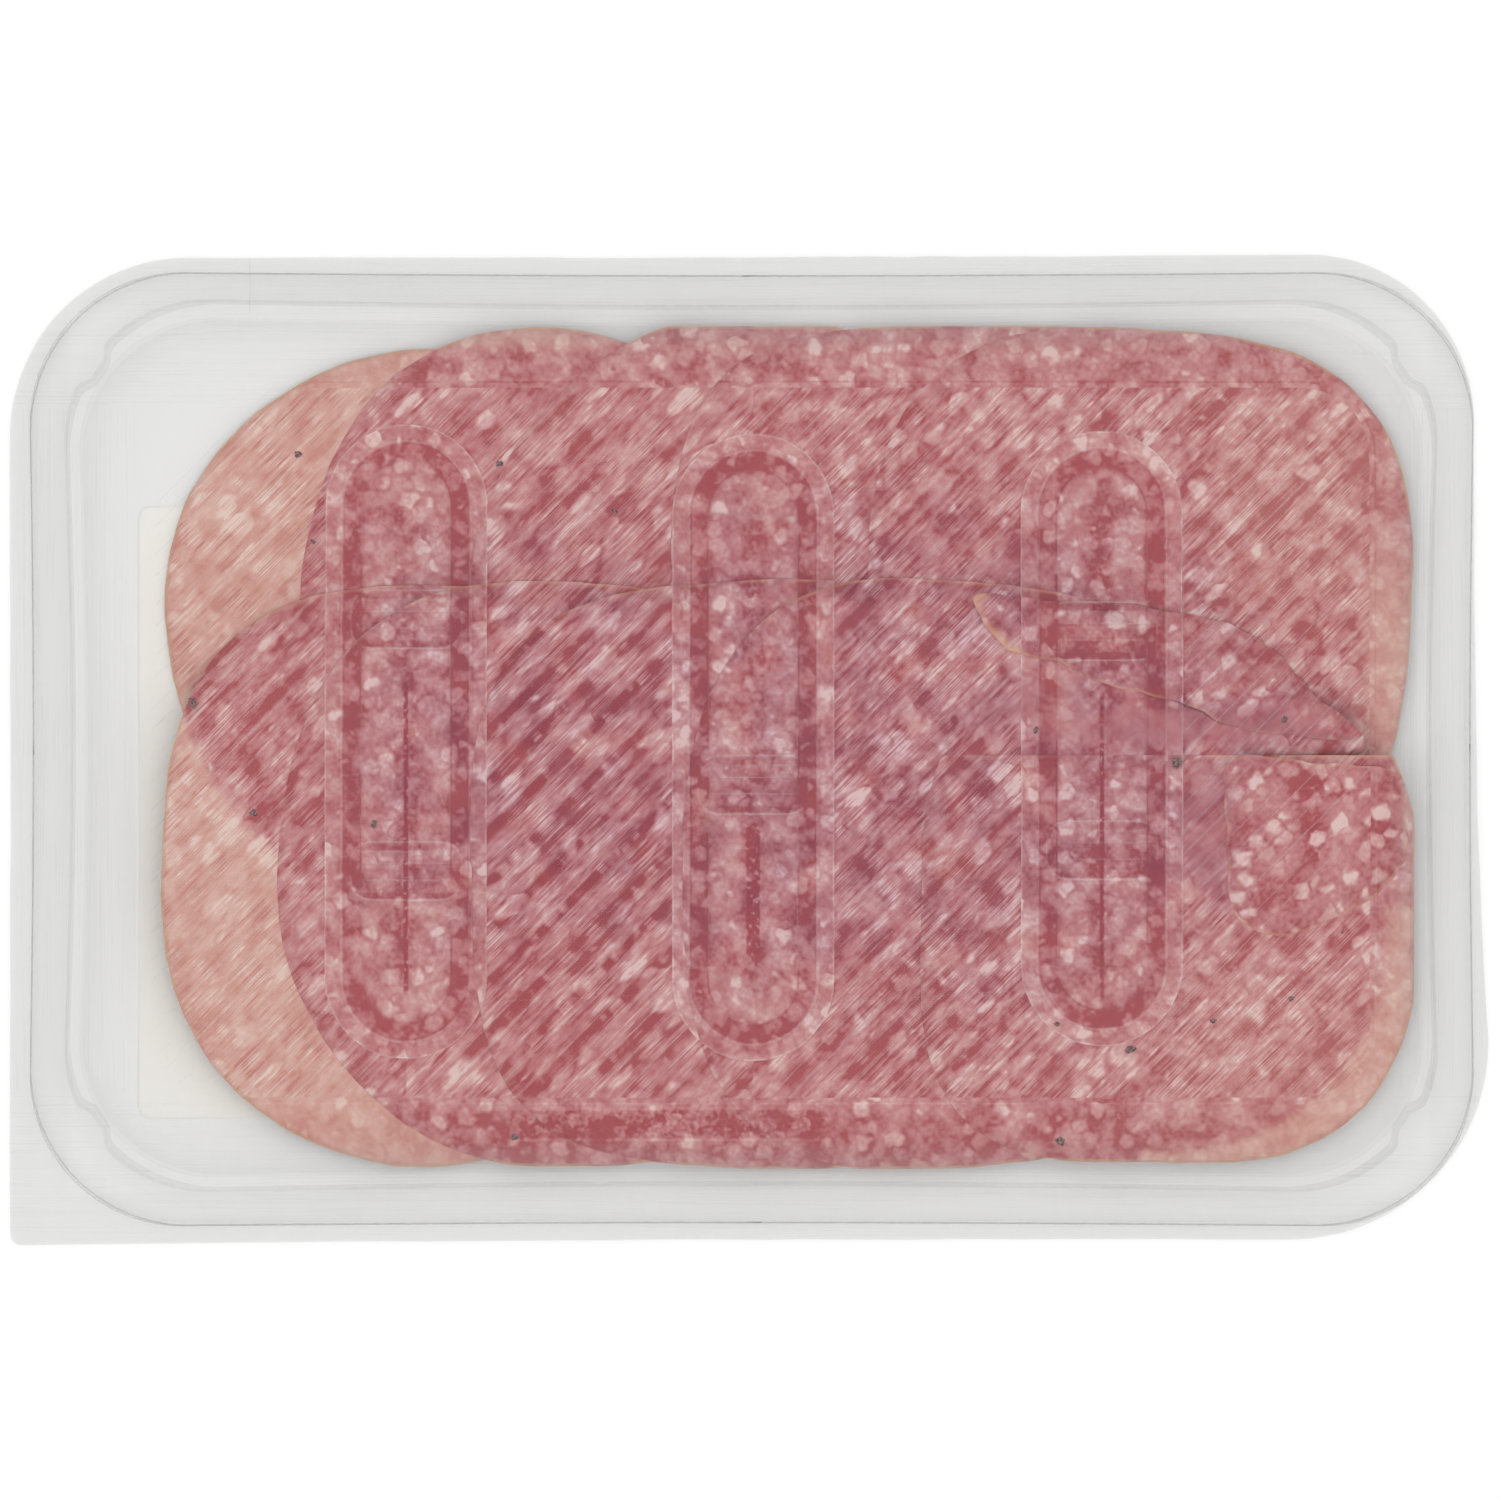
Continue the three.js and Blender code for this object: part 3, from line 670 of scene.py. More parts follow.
def drapes(name, points):
    """Where a slice bends down at its rim: along its upper edge."""
    if name == "slice_flap_1":
        return smooth(above_slant(points), 0.0, 4.0)
    if name in ("slice_lower_5", "slice_flap_2"):
        return np.zeros(len(points))
    return smooth(points[:, 1], 5.0, 12.0)


def hollow_under(loops, layers, layer, flat):
    """The height of the gap down to the next slice at each point, for rims to sink into."""
    levels = [
        layers[other] - BEYOND * (1 - smooth(depth_in(loops[other], flat), -1.0, 1.5))
        for other in loops if layers[other] < layer
    ]
    if not levels:
        return np.zeros(len(flat))
    gap = layer - np.max(levels, axis=0) - 1
    return np.where(gap > BRIDGED, 0, np.clip(gap, 0, DEEPEST)) * (LAYER * DRAPE_SHARE)


def slice_heights(name, loops, layers, flat, rim, under, sheet, ceiling):
    """A slice's top and underside: round at a bare rim, thinned out and let down where it lies on meat."""
    layer, half = layers[name], SLICE_THICKNESS / 2
    free = 1 - smooth(under, -0.3, 0.3)
    thinned = np.clip(rim / PRESSED_EDGE, 0, 1)
    rounding = np.sqrt(1 - (1 - np.clip(rim / EDGE_RADIUS, 0, 1)) ** 2)
    rounding = rounding * free + np.minimum(rounding, thinned ** 0.8) * (1 - free)
    wave = 0.05 * np.sin(flat[:, 0] * 0.9 + layer) * np.sin(flat[:, 1] * 0.8 - layer)
    middle = sheet.at(flat) + layer * LAYER + half + wave
    drape = (1 - smooth(rim, 0, DRAPE)) * smooth(under, 1.0, 5.0) * drapes(name, flat)
    settled = SETTLED * (1 - free) * (1 - thinned) + hollow_under(loops, layers, layer, flat) * drape
    low = middle - half * (free * (0.55 + 0.45 * rounding) + (1 - free)) - settled
    thin = THIN_RIM + (BARE_RIM - THIN_RIM) * free
    top = middle - half + SLICE_THICKNESS * (thin + (1 - thin) * rounding) - settled
    top = np.minimum(top, ceiling.at(flat) - CLEAR_OF_TRAY)
    return top, np.maximum(np.minimum(low, top - THINNEST), FILM_TOP + CLEAR_OF_FILM)


CRISP = {"slice_flap_1": 0.7, "slice_flap_2": 1.0}  # how crisply flecks show, away from the ribs
CURL_TO, CURL_SHARE = 36.5, 0.4  # the first flap's curled end shows its skin farther in


def slice_fields(name, flat, rim, under, layer):
    """What the meat's finish needs at each point. Each slice's batch moves its flecks elsewhere."""
    curled = (flat[:, 0] < CURL_TO) & (name == "slice_flap_1")
    return {
        "rim": np.where(curled, rim * CURL_SHARE, rim),
        # painted light shining through where a slice lies alone
        "lone": lit_through_paleness(name, flat, under),
        "crisp": np.full(len(flat), CRISP.get(name, 0.0)),
        "skin": skin_shown(name, flat, under),
        "base_depth": depth_in(BASE_LOOP, flat),
        "batch": np.tile([[61.7 * layer + 3 * len(name), 37.3 * layer, 0.0]], (len(flat), 1)),
        **zone_fields(flat),
    }


def slice_mesh(name, loops, sheet, ceiling, layers):
    """One slice: both faces split alike, joined round a rounded rim, with what its finish needs."""
    loop = loops[name]
    # rows of points beside the edge give the rim its roundness
    near = hex_points(loop, SLICE_GRID * 0.5, 0.2)
    near = near[depth_in(loop, near) < SLICE_GRID * 0.9]
    flat, triangles = filled([loop], (), np.concatenate([hex_points(loop, SLICE_GRID, SLICE_GRID), near]))
    rim = np.maximum(depth_in(loop, flat), 0)
    under = [depth_in(loops[other], flat) for other in loops if layers[other] < layers[name]]
    under = np.max(under, axis=0) if under else np.full(len(flat), -50.0)
    top, bottom = slice_heights(name, loops, layers, flat, rim, under, sheet, ceiling)
    on_edge = rim < 1e-4
    top = np.where(on_edge, (top + bottom) / 2, top)
    own = np.arange(len(flat))
    lower = np.where(on_edge, own, own + len(flat))[triangles]
    faces = np.concatenate([triangles, lower[:, ::-1]])
    points = np.concatenate([np.column_stack([flat, top]), np.column_stack([flat, bottom])])
    used, faces = np.unique(faces, return_inverse=True)
    fields = slice_fields(name, flat, rim, under, layers[name])
    fields = {key: np.concatenate([values, values])[used] for key, values in fields.items()}
    return points[used], faces.reshape(-1, 3).tolist(), fields


# Soft ovals that the finish needs: middle, half sizes, strength
ZONES = {
    # where the slices press on the ribs
    "pressed": [
        ((-23.5, -13.0), (14.5, 36.0), 1.0), ((-52.0, 33.0), (14.0, 12.0), 0.35),
        ((-20.0, 25.0), (14.0, 10.0), 0.4), ((70.0, 28.0), (17.0, 24.0), 0.4),
        ((22.0, -38.0), (20.0, 12.0), 0.4), ((24.0, 8.0), (12.0, 30.0), 0.25),
        ((-60.0, 5.0), (14.0, 20.0), 0.3),
    ],
    # where there is air under the tray, and the meat looks milky and mauve: a painted reflection veil
    "milky": [
        ((20.0, 0.0), (42.0, 34.0), 0.9), ((-30.0, 2.0), (26.0, 30.0), 0.8), ((52.0, 2.0), (16.0, 26.0), 0.7),
        ((56.0, 4.0), (23.0, 5.5), 1.0), ((53.0, -9.0), (11.0, 13.0), 1.0), ((62.0, -10.0), (4.0, 12.0), 1.0),
    ],
    # darker, plainer meat between the flaps
    "plain": [
        ((60.0, 3.5), (22.0, 2.6), 0.9), ((61.5, -11.0), (3.0, 8.0), 0.9), ((37.0, 6.5), (6.0, 2.6), 0.6),
    ],
    # deep red spots
    "stain": [
        ((77.0, -5.0), (3.2, 1.8), 0.9), ((76.2, -12.0), (1.8, 3.0), 0.9), ((85.0, -10.5), (2.0, 2.4), 0.8),
        ((-2.5, 39.7), (1.8, 1.0), 0.7), ((-5.0, 36.5), (1.0, 1.4), 0.7), ((-29.0, -45.0), (3.0, 1.2), 0.7),
    ],
}
# Where the right-hand slices lie alone, and look as pale as the left-hand ones do, with light shining through
# them painted in
LONE_TOP = ((-31.5, 56.6), (12.0, 2.4), 0.75)
LONE_MARGIN = ((89.5, 11.0), (6.5, 17.0), 0.95)
LONE_CORNER = ((57.0, -25.0), 29.0)
# Where the right-hand slices are a little paler than the rest, with light shining through them painted in
HALF_LONE = [((72.0, -42.0), (17.0, 13.0), 0.2), ((76.0, 34.0), (14.0, 16.0), 0.3)]
# Contact lines along the slots' floors: top and bottom end, and half width
SEAMS = [(9.4, -33.8, 0.32), (-9.5, -28.4, 0.95), (8.1, -34.5, 0.3)]
FAR = 10  # beyond this distance a bar or a seam no longer matters


def lit_through_paleness(name, points, under):
    """How far a slice looks pale, painted light shining through it from below, since nothing lies under it.
    Round the last slice's corner it does so outside a circle."""
    if name in ("slice_upper_1", "slice_lower_1"):
        return 1 - smooth(under, -0.5, 0.6)
    if name == "slice_upper_2":
        return soft_ovals([LONE_TOP], points)
    middle, radius = LONE_CORNER
    away = points - np.array(middle)
    corner = smooth(np.linalg.norm(away, axis=1), radius - 0.6, radius + 1.0) * (away[:, 1] < 4)
    if name in ("slice_lower_5", "slice_lower_4"):
        return np.maximum(corner * (away[:, 0] > -4), soft_ovals(HALF_LONE, points))
    if name == "slice_upper_5":
        return soft_ovals([LONE_MARGIN, *HALF_LONE], points)
    return np.zeros(len(points))


def skin_shown(name, points, under):
    """How clearly the tan skin shows along a slice's rim: not where the rim presses on meat."""
    bare = 1 - smooth(under, -0.3, 0.3)
    if name == "slice_flap_1":
        return np.where(points[:, 0] < 37.5, 0.9, np.where(above_slant(points) < 0, 0.5, 0.1))
    if name in FLAPS:
        return np.maximum(bare, 0.4)
    slice_ = SLICES[name]
    up = (points[:, 1] - slice_["at"][1]) / slice_["half"][1]
    if name.startswith("slice_lower"):
        bare = np.maximum(bare, 0.5 * smooth(up, 0.75, 0.95))
    if "fold" in slice_:
        folded = (points[:, 1] > slice_["fold"] - 1.0) & (points[:, 0] > 62)
        bare = np.maximum(bare, np.where(folded, 0.7, 0.12))
    return bare


def soft_ovals(ovals, points):
    """The strongest of some soft ovals at each point."""
    away = [((points - np.array(at)) / np.array(half)) ** 4 for at, half, _ in ovals]
    strengths = [oval_[2] * np.exp(-part.sum(1)) for oval_, part in zip(ovals, away)]
    return np.max(strengths, axis=0)


def zone_fields(points):
    """What the finishes need to know of the tray and the contact at each point."""
    reach, which = slot_reach(points)
    away = points[:, None] - np.array(BARS)
    bar = np.array(BARS)[np.argmin(np.linalg.norm(away, axis=2), axis=1)]
    tops, bottoms, widths = (np.array(values)[which] for values in zip(*SEAMS))
    axis = np.array([slot["x"] for slot in SLOTS])[which]
    return {
        "slot_reach": reach,
        "bar_in": np.maximum(-outside_bar(points, bar, BAR_FOOT), -FAR),
        "bar_up": np.clip(points[:, 1] - bar[:, 1], -FAR, FAR),
        "seam_end": np.maximum(np.minimum(tops - points[:, 1], points[:, 1] - bottoms), -FAR),
        "seam_side": (points[:, 0] - axis) / widths,
        **{key: soft_ovals(ovals, points) for key, ovals in ZONES.items()},
    }


# ---- Materials ----


class Wire:
    """An output of the material's nodes. Sums, products and the like of wires add Math nodes."""

    tree = None

    def __init__(self, socket):
        self.socket = socket

    @classmethod
    def node(cls, kind, settings=None, inputs=None, out=0):
        """Adds a node, with its settings first and then the values or links of its sockets."""
        made = cls.tree.nodes.new("ShaderNode" + kind)
        for key, value in (settings or {}).items():
            if key == "stops":
                ramp = made.color_ramp
                while len(ramp.elements) < len(value):
                    ramp.elements.new(0.5)
                for element, (position, colour) in zip(ramp.elements, value):
                    element.position = position
                    element.color = (*colour, 1)
            else:
                setattr(made, key, value)
        for key, value in (inputs or {}).items():
            if isinstance(value, Wire):
                cls.tree.links.new(value.socket, made.inputs[key])
            else:
                made.inputs[key].default_value = value
        return cls(made.outputs[out])

    def output(self, number):
        """Another output of the same node."""
        return Wire(self.socket.node.outputs[number])

    def maths(self, operation, *others, flipped=False):
        terms = [self, *others]
        if flipped:
            terms.reverse()
        return self.node("Math", {"operation": operation}, dict(enumerate(terms)))

    def __add__(self, other):
        return self.maths("ADD", other)

    def __sub__(self, other):
        return self.maths("SUBTRACT", other)

    def __mul__(self, other):
        return self.maths("MULTIPLY", other)

    def __truediv__(self, other):
        return self.maths("DIVIDE", other)

    def __rsub__(self, other):
        return self.maths("SUBTRACT", other, flipped=True)

    __radd__ = __add__
    __rmul__ = __mul__

    def __abs__(self):
        return self.maths("ABSOLUTE")

    def fraction(self):
        return self.maths("FRACT")

    def highest(self, other):
        return self.maths("MAXIMUM", other)

    def lowest(self, other):
        return self.maths("MINIMUM", other)

    def step(self, low, high):
        """0 below low, 1 above high, and smooth between. With low above high it falls instead."""
        ends = (low, high, 0.0, 1.0) if low < high else (high, low, 1.0, 0.0)
        return self.node("MapRange", {"interpolation_type": "SMOOTHSTEP"}, dict(enumerate((self, *ends))))

    def band(self, start, end, soft):
        """1 between start and end, with soft sides."""
        return self.step(start - soft, start + soft) * self.step(end + soft, end - soft)

    def bands(self, rows):
        """Bands added up: start, end, softness and strength of each."""
        made = [self.band(*ends) * strength for *ends, strength in rows]
        return sum(made[1:], made[0])


def linear(red, green, blue):
    """A colour as seen on a screen, 0 to 255, in linear light."""
    shares = [value / 255 for value in (red, green, blue)]
    return tuple(s / 12.92 if s <= 0.04045 else ((s + 0.055) / 1.055) ** 2.4 for s in shares)


# What the tray over the meat adds and takes, so that a colour seen through it can be given
VEIL = 0.02
GAIN = 0.97


def under_tray(red, green, blue):
    """The meat's own colour, for a colour as it is seen through the tray."""
    return tuple(min(max((value - VEIL) / GAIN, 0.0), 1.0) for value in linear(red, green, blue))


def mix(share, first, second, blend="MIX"):
    """Two colours blended."""
    def four(colour):
        return (*colour, 1.0) if isinstance(colour, tuple) and len(colour) == 3 else colour

    settings = {"data_type": "RGBA", "blend_type": blend, "clamp_factor": True}
    return Wire.node("Mix", settings, {0: share, 6: four(first), 7: four(second)}, out=2)


def value_of(name, out=2):
    """A number, or with out=1 a vector, that the mesh carries at each point."""
    return Wire.node("Attribute", {"attribute_name": name}, out=out)


def vector_maths(operation, first, inputs):
    return Wire.node("VectorMath", {"operation": operation}, {0: first, **inputs})


def place():
    """The place on the pack, in millimetres."""
    return vector_maths("SCALE", Wire.node("TexCoord", out=3), {3: 1 / MM})


def parts_of(vector):
    made = Wire.node("SeparateXYZ", inputs={0: vector})
    return [made.output(k) for k in range(3)]


def vector_of(x, y, z=0.0):
    return Wire.node("CombineXYZ", inputs={0: x, 1: y, 2: z})


def vector_sum(first, second):
    return vector_maths("ADD", first, {1: second})


def noise(where, size, detail=2.0, out=0):
    """Soft noise whose lumps are about the given size in millimetres."""
    inputs = {"Vector": where, "Scale": 1 / size, "Detail": detail}
    return Wire.node("TexNoise", {"noise_dimensions": "2D"}, inputs, out=out)


def colour_noise(where, size, detail=1.0):
    """Three soft noises at once, each about 0.5."""
    return parts_of(noise(where, size, detail, out=1))


def surface(colour, roughness, shine=0.5, **more):
    inputs = {"Base Color": colour, "Roughness": roughness, "Specular IOR Level": shine, **more}
    return Wire.node("BsdfPrincipled", inputs=inputs)


def bumps(height, strength, depth):
    """Low relief, its depth in millimetres."""
    return Wire.node("Bump", inputs={"Strength": strength, "Distance": depth * MM, "Height": height})


def dressed(owner, kind, make, *given):
    """Fills a material or a world with the nodes that a function makes."""
    owner.use_nodes = True
    Wire.tree = owner.node_tree
    Wire.tree.nodes.clear()
    output = Wire.tree.nodes.new("ShaderNodeOutput" + kind)
    Wire.tree.links.new(make(*given).socket, output.inputs["Surface"])
    return owner


def material(name, make, *given):
    return dressed(bpy.data.materials.new(name), "Material", make, *given)


def above(value, limit):
    """1 where the value is over the limit, else 0."""
    return value.maths("GREATER_THAN", limit)


def hairlines(value, width):
    """Thin lines where a noise passes its middle."""
    return (1 - abs(value - 0.5) * (1 / width)).highest(0.0)


FLECK_CELL, FLECK_LARGEST, FLECK_SOFT = 3.0, 0.41, 0.15
FLECK_WAVER = 1.3


def fat_flecks(where, least):
    """Fat flecks of uneven size and brightness, one at most in each cell."""
    inputs = {"Vector": where, "Scale": 1 / FLECK_CELL, "Randomness": 0.65}
    cells = Wire.node("TexVoronoi", {"voronoi_dimensions": "2D", "feature": "F1"}, inputs)
    size, bright, _ = parts_of(cells.output(1))
    radius = size * FLECK_LARGEST + (1 - size) * least
    return (radius - cells).step(-FLECK_SOFT, FLECK_SOFT) * (bright * 0.55 + 0.4)


def meat_flecks(where, crisp):
    """Round flecks with wavering outlines over soft clouds of fat, which crisp spots have less of."""
    waver = vector_maths("SUBTRACT", noise(where, 1.6, 0.0, out=1), {1: (0.5, 0.5, 0.5)})
    waver = vector_maths("SCALE", waver, {3: FLECK_WAVER})
    large = fat_flecks(vector_sum(where, waver), crisp * 0.1 + 0.04)
    first, second, _ = colour_noise(vector_sum(where, (19.0, 7.0, 0.0)), 2.5, 0.5)
    cloudy = (first.step(0.42, 0.82) * 0.62).highest(second.step(0.5, 0.76) * 0.5)
    return (large * (crisp * 0.25 + 1)).highest(cloudy * (1 - crisp * 0.6))


# Colours from lean to fat, as they show through the tray: in air, with a painted reflection veil, in contact,
# and where a slice lies alone, with painted light shining through it
TONES = (0.04, 0.25, 0.5, 0.75, 0.97)
MAUVE = [(143, 76, 88), (161, 100, 110), (175, 121, 129), (189, 145, 152), (208, 175, 182)]
SALMON = [(164, 88, 92), (179, 114, 117), (190, 133, 134), (200, 155, 153), (215, 184, 180)]
LIT_THROUGH = [(186, 128, 122), (197, 147, 137), (203, 159, 149), (209, 172, 161), (219, 193, 184)]
SKIN = (206, 160, 132)
WET = (0.92, 0.74, 0.78)  # what wet meat keeps of its colour


def tone_ramp(tone, colours):
    stops = [(position, under_tray(*colour)) for position, colour in zip(TONES, colours)]
    return Wire.node("ValToRGB", {"stops": stops}, {0: tone})


# How far flecks are drawn along the ribs, by column: where each column starts, and the change in it
DRAWN_FIRST = 0.6
DRAWN_CHANGES = [(-46.3, -0.1), (0.5, 0.14), (47.5, 0.08)]

# Marks of the ribs, by phase from rib to rib: from, to, softness. Milky along the crest, a painted reflection
# veil, in touch with the meat between two ribs. A painted glint beside it, and a painted shade line at the
# rib's edge
TOUCH, CREST = (0.33, 0.57, 0.04), (0.17, 0.46, 0.05)
GLINT, RIB_EDGE = (0.71, 0.76, 0.02), (0.615, 0.635, 0.012)
CREST_SHIFT = 0.2
RIB_SWAY = 0.3
# Marks of the slots by the distance from their axis, and of the bars by the distance up from their middle:
# from, to, softness, and how much paler. The thin pale lines are painted highlights of the tray's edges, as
# is the pale band over each bar
SLOT_MARKS = [
    (SLOT_SHOULDER + 0.6, SLOT_BORDER, 0.25, 0.12), (10.75, 10.9, 0.08, 0.2), (8.75, 8.85, 0.08, 0.2),
    (8.3, 8.45, 0.08, -0.196), (11.0, 11.1, 0.08, -0.14),
]
BAR_MARKS = [(1.0, 2.6, 0.3, 0.08), (2.9, 3.6, 0.15, -0.12), (-3.7, -2.9, 0.15, -0.16)]
# The deep red strip pressed against the wall, the pale line below it, and its ends
STRIP, STRIP_LINE, STRIP_ENDS = (-52.3, -48.6, 0.12), (-52.75, -52.55, 0.08), (-31.5, 10.5, 2.0)


def slot_tone(slot, uneven, grit):
    """The slots: a pale border between thin lines, the pale ones painted highlights, a dark sloping side,
    and a floor that is pale but for a dark band along its middle. The slope comes as well."""
    slope = slot.band(SLOT_FLOOR, SLOT_SHOULDER, 0.35) * uneven.step(0.2, 0.5)
    ring = slot.band(SLOT_FLOOR + 0.1, SLOT_FLOOR + 0.3, 0.1) * uneven.step(0.35, 0.55)
    middle = slot.step(2.0, 1.2) * grit.step(0.2, 0.5)
    # the thin pale lines round the slot are painted highlights
    tone = slot.bands(SLOT_MARKS) - slope * 0.24 - ring * 0.28 - middle * 0.16
    return tone + slot.step(5.8, 5.0) * 0.08 - slot.step(11.0, 10.0) * 0.02, slope


def bar_tone(grit):
    """The bars across the slots: a thin pale outline and a pale band, painted highlights, dark lines at
    both ends, pale over dark.
    """
    inside_bar, up = value_of("bar_in"), value_of("bar_up")
    lower = up.step(0.8, 0.0) * grit.step(0.1, 0.5) * 0.13
    line = hairlines(up * 0.9 + (grit - 0.5) * 0.3 - 0.3, 0.12) * 0.12
    # painted highlights: the pale band over the bar and its thin pale outline
    tone = (up.bands(BAR_MARKS) - lower - line) * inside_bar.step(-0.05, 0.15)
    return tone + inside_bar.band(-0.25, -0.1, 0.08) * 0.16


def edge_tone(depth, x, y, grit, patch):
    """Lines along the base's edge, and the strip pressed against the wall below it, which comes as well."""
    line = depth.band(-0.1, 0.1, 0.07) * patch.step(0.3, 0.5)
    ends = x.band(*STRIP_ENDS)
    strip = y.band(*STRIP) * ends
    tone = line * (0.16 - above(y, 0.0) * 0.36) - strip * grit.step(0.2, 0.7) * 0.24
    return tone + y.band(*STRIP_LINE) * ends * 0.16 - y.step(-48.5, -49.8) * 0.15, strip


def rib_tone(along, across, turn, fat, pressed):
    """Contact marks along the ribs, and painted light: milky crests and pale and dark hairlines as painted
    reflections, glints as painted highlights, and a painted shade line at each rib's edge. The contact and
    the hairlines come too.
    """
    felt = pressed * 0.75 + 0.25
    phase = turn.fraction()
    long_line, thin_line, gap = colour_noise(vector_of(along * 0.035, across * 1.5), 1.0, 2.0)
    dashes = noise(vector_of(along * 0.36, turn.maths("FLOOR") * 7.3), 1.0, 1.0)
    touch = phase.band(*TOUCH) * dashes.step(0.36, 0.52) * felt * (1 - fat * 0.9)
    # painted reflection veil: milky along the crest
    crest = (turn + CREST_SHIFT).fraction().band(*CREST) * felt
    # painted highlight: a glint along each rib
    glint = phase.band(*GLINT) * dashes.step(0.6, 0.4) * felt
    # painted shade: a thin dark line at the rib's edge
    edge = phase.band(*RIB_EDGE) * gap.step(0.45, 0.6)
    # painted reflections: pale and dark hairlines along the ribs
    lines = hairlines(long_line, 0.08) * 0.42 - hairlines(thin_line, 0.07) * 0.42
    lines = lines * dashes.step(0.75, 0.25) + (gap - 0.5) * 0.5
    tone = lines - pressed * 0.12 + crest * 0.18 + glint * 0.24 - touch * 0.56 - edge * 0.25
    return tone, touch, lines


def cured_meat():
    """Lean meat with fat flecks as it shows through the tray: smeared and banded under the ribs, with painted
    glints and reflection lines along them, dark where it touches the plastic and milky where it doesn't, a
    painted reflection veil, pale where a slice lies alone, painted light shining through it."""
    spot, batch = place(), value_of("batch", out=1)
    x, y, _ = parts_of(spot)
    along, across = (x + y) * math.sqrt(0.5), (x - y) * math.sqrt(0.5)
    turn = across / RIB_PITCH - RIB_SHIFT
    slot, depth, crisp, pressed = (value_of(key) for key in ("slot_reach", "base_depth", "crisp", "pressed"))
    ribbed = above(depth, RIBBED_FROM) * above(slot, SLOT_BORDER) * (1 - crisp * 0.7)

    # the grain is drawn out along the ribs and sways across them
    drawn = DRAWN_FIRST
    for start, change in DRAWN_CHANGES:
        drawn = above(x, start) * change + drawn
    sway = (turn * (2 * math.pi)).maths("SINE") * ribbed * RIB_SWAY
    grain = vector_sum(vector_of(along * (ribbed * (drawn - 1) + 1), across + sway), batch)
    fat = meat_flecks(grain, crisp)
    clouds, hue, patch = colour_noise(vector_sum(spot, batch), 6.0, 1.0)
    fibre, grit, _ = colour_noise(grain, 0.7, 1.0)

    # the tone, from lean to fat
    marks, touch, lines = rib_tone(along, across, turn, fat, pressed)
    slot_part, slope = slot_tone(slot, patch, grit)
    edge_part, strip = edge_tone(depth, x, y, grit, patch)
    seam = abs(value_of("seam_side")).step(1.1, 0.8) * value_of("seam_end").step(0.0, 1.5)
    seam = seam * above(SLOT_FLOOR - slot, 0.0) * grit.step(0.25, 0.5)
    stain = value_of("stain") * grit.step(0.2, 0.5)
    tone = 0.24 + (clouds - 0.5) * 0.75 + (fibre - 0.5) * 0.5 + fat * 0.66
    tone = tone + marks * ribbed + slot_part + edge_part - seam * 0.4 + bar_tone(grit)
    tone = tone - stain * (1 - fat) * 0.5 - value_of("plain") * (tone - 0.3) * 0.7
    tone = tone.highest(0.0).lowest(1.0)

    # wet where it sticks to the plastic
    wet = (touch * pressed.step(0.3, 0.9) * ribbed).highest(slope * 0.35).highest(seam * 0.8)
    wet = wet.highest(strip * grit.step(0.35, 0.65) * 0.8).highest(stain)

    # painted reflection veil where there is air under the tray
    mauve = (value_of("milky") * (hue - 0.15) * 2.2).lowest(1.0)
    deep = mix(mauve, tone_ramp(tone, SALMON), tone_ramp(tone, MAUVE))
    deep = mix(wet * (1 - fat * 0.5), deep, mix(1.0, deep, WET, "MULTIPLY"))
    # painted light shining through where a slice lies alone, with the painted hairline highlights on it
    lit_through_colour = tone_ramp(tone * 0.8 + 0.14 + lines * above(depth, RIBBED_FROM) * 0.4, LIT_THROUGH)
    colour = mix(value_of("lone"), deep, lit_through_colour)
    skin = value_of("rim").step(0.55, 0.1) * value_of("skin") * patch.step(0.3, 0.55)
    colour = mix(skin * 0.8, colour, under_tray(*SKIN))
    return surface(colour, 0.5 - fat * 0.1, 0.25, Normal=bumps(noise(spot, 0.9, 0.0), 0.3, 0.15))


# Painted highlights: thin pale lines on the tray, as the marks above: along the ribs, round the slots, across
# the bars
RIB_LINES = [(0.69, 0.72, 0.012, 0.12), (0.265, 0.285, 0.012, 0.12)]
SLOT_LINES = [(10.8, 10.9, 0.08, 0.15), (8.6, 8.7, 0.08, 0.1), (5.95, 6.05, 0.08, 0.1)]
BAR_LINES = [(2.55, 2.65, 0.07, 0.13), (0.95, 1.05, 0.07, 0.13), (-1.25, -1.15, 0.07, 0.13)]
# A crease crosses the flange and the seal
CREASE_AT, CREASE_FROM = 68.0, 59.0
# Fine draw lines from forming the sheet, how dense across and how long along, and where they turn sideways
STREAKS, STREAK_ACROSS, STREAK_ALONG, STREAK_TURN = 0.03, 2.2, 0.02, 46.0


def base_lines(x, y):
    """Painted highlights: thin pale lines along the ribs, the slots and the bars."""
    slot, inside_bar = value_of("slot_reach"), value_of("bar_in")
    # painted highlights along the ribs, round the slots and across the bars
    phase = ((x - y) * (math.sqrt(0.5) / RIB_PITCH) - RIB_SHIFT).fraction()
    ribs = phase.bands(RIB_LINES) * above(value_of("base_depth"), 0.9) * above(slot, SLOT_BORDER)
    bars = inside_bar.band(-0.15, -0.05, 0.08) * 0.17
    bars = bars + value_of("bar_up").bands(BAR_LINES) * above(inside_bar, 0.0)
    return ribs + slot.bands(SLOT_LINES) * above(inside_bar * -1, 0.0) + bars


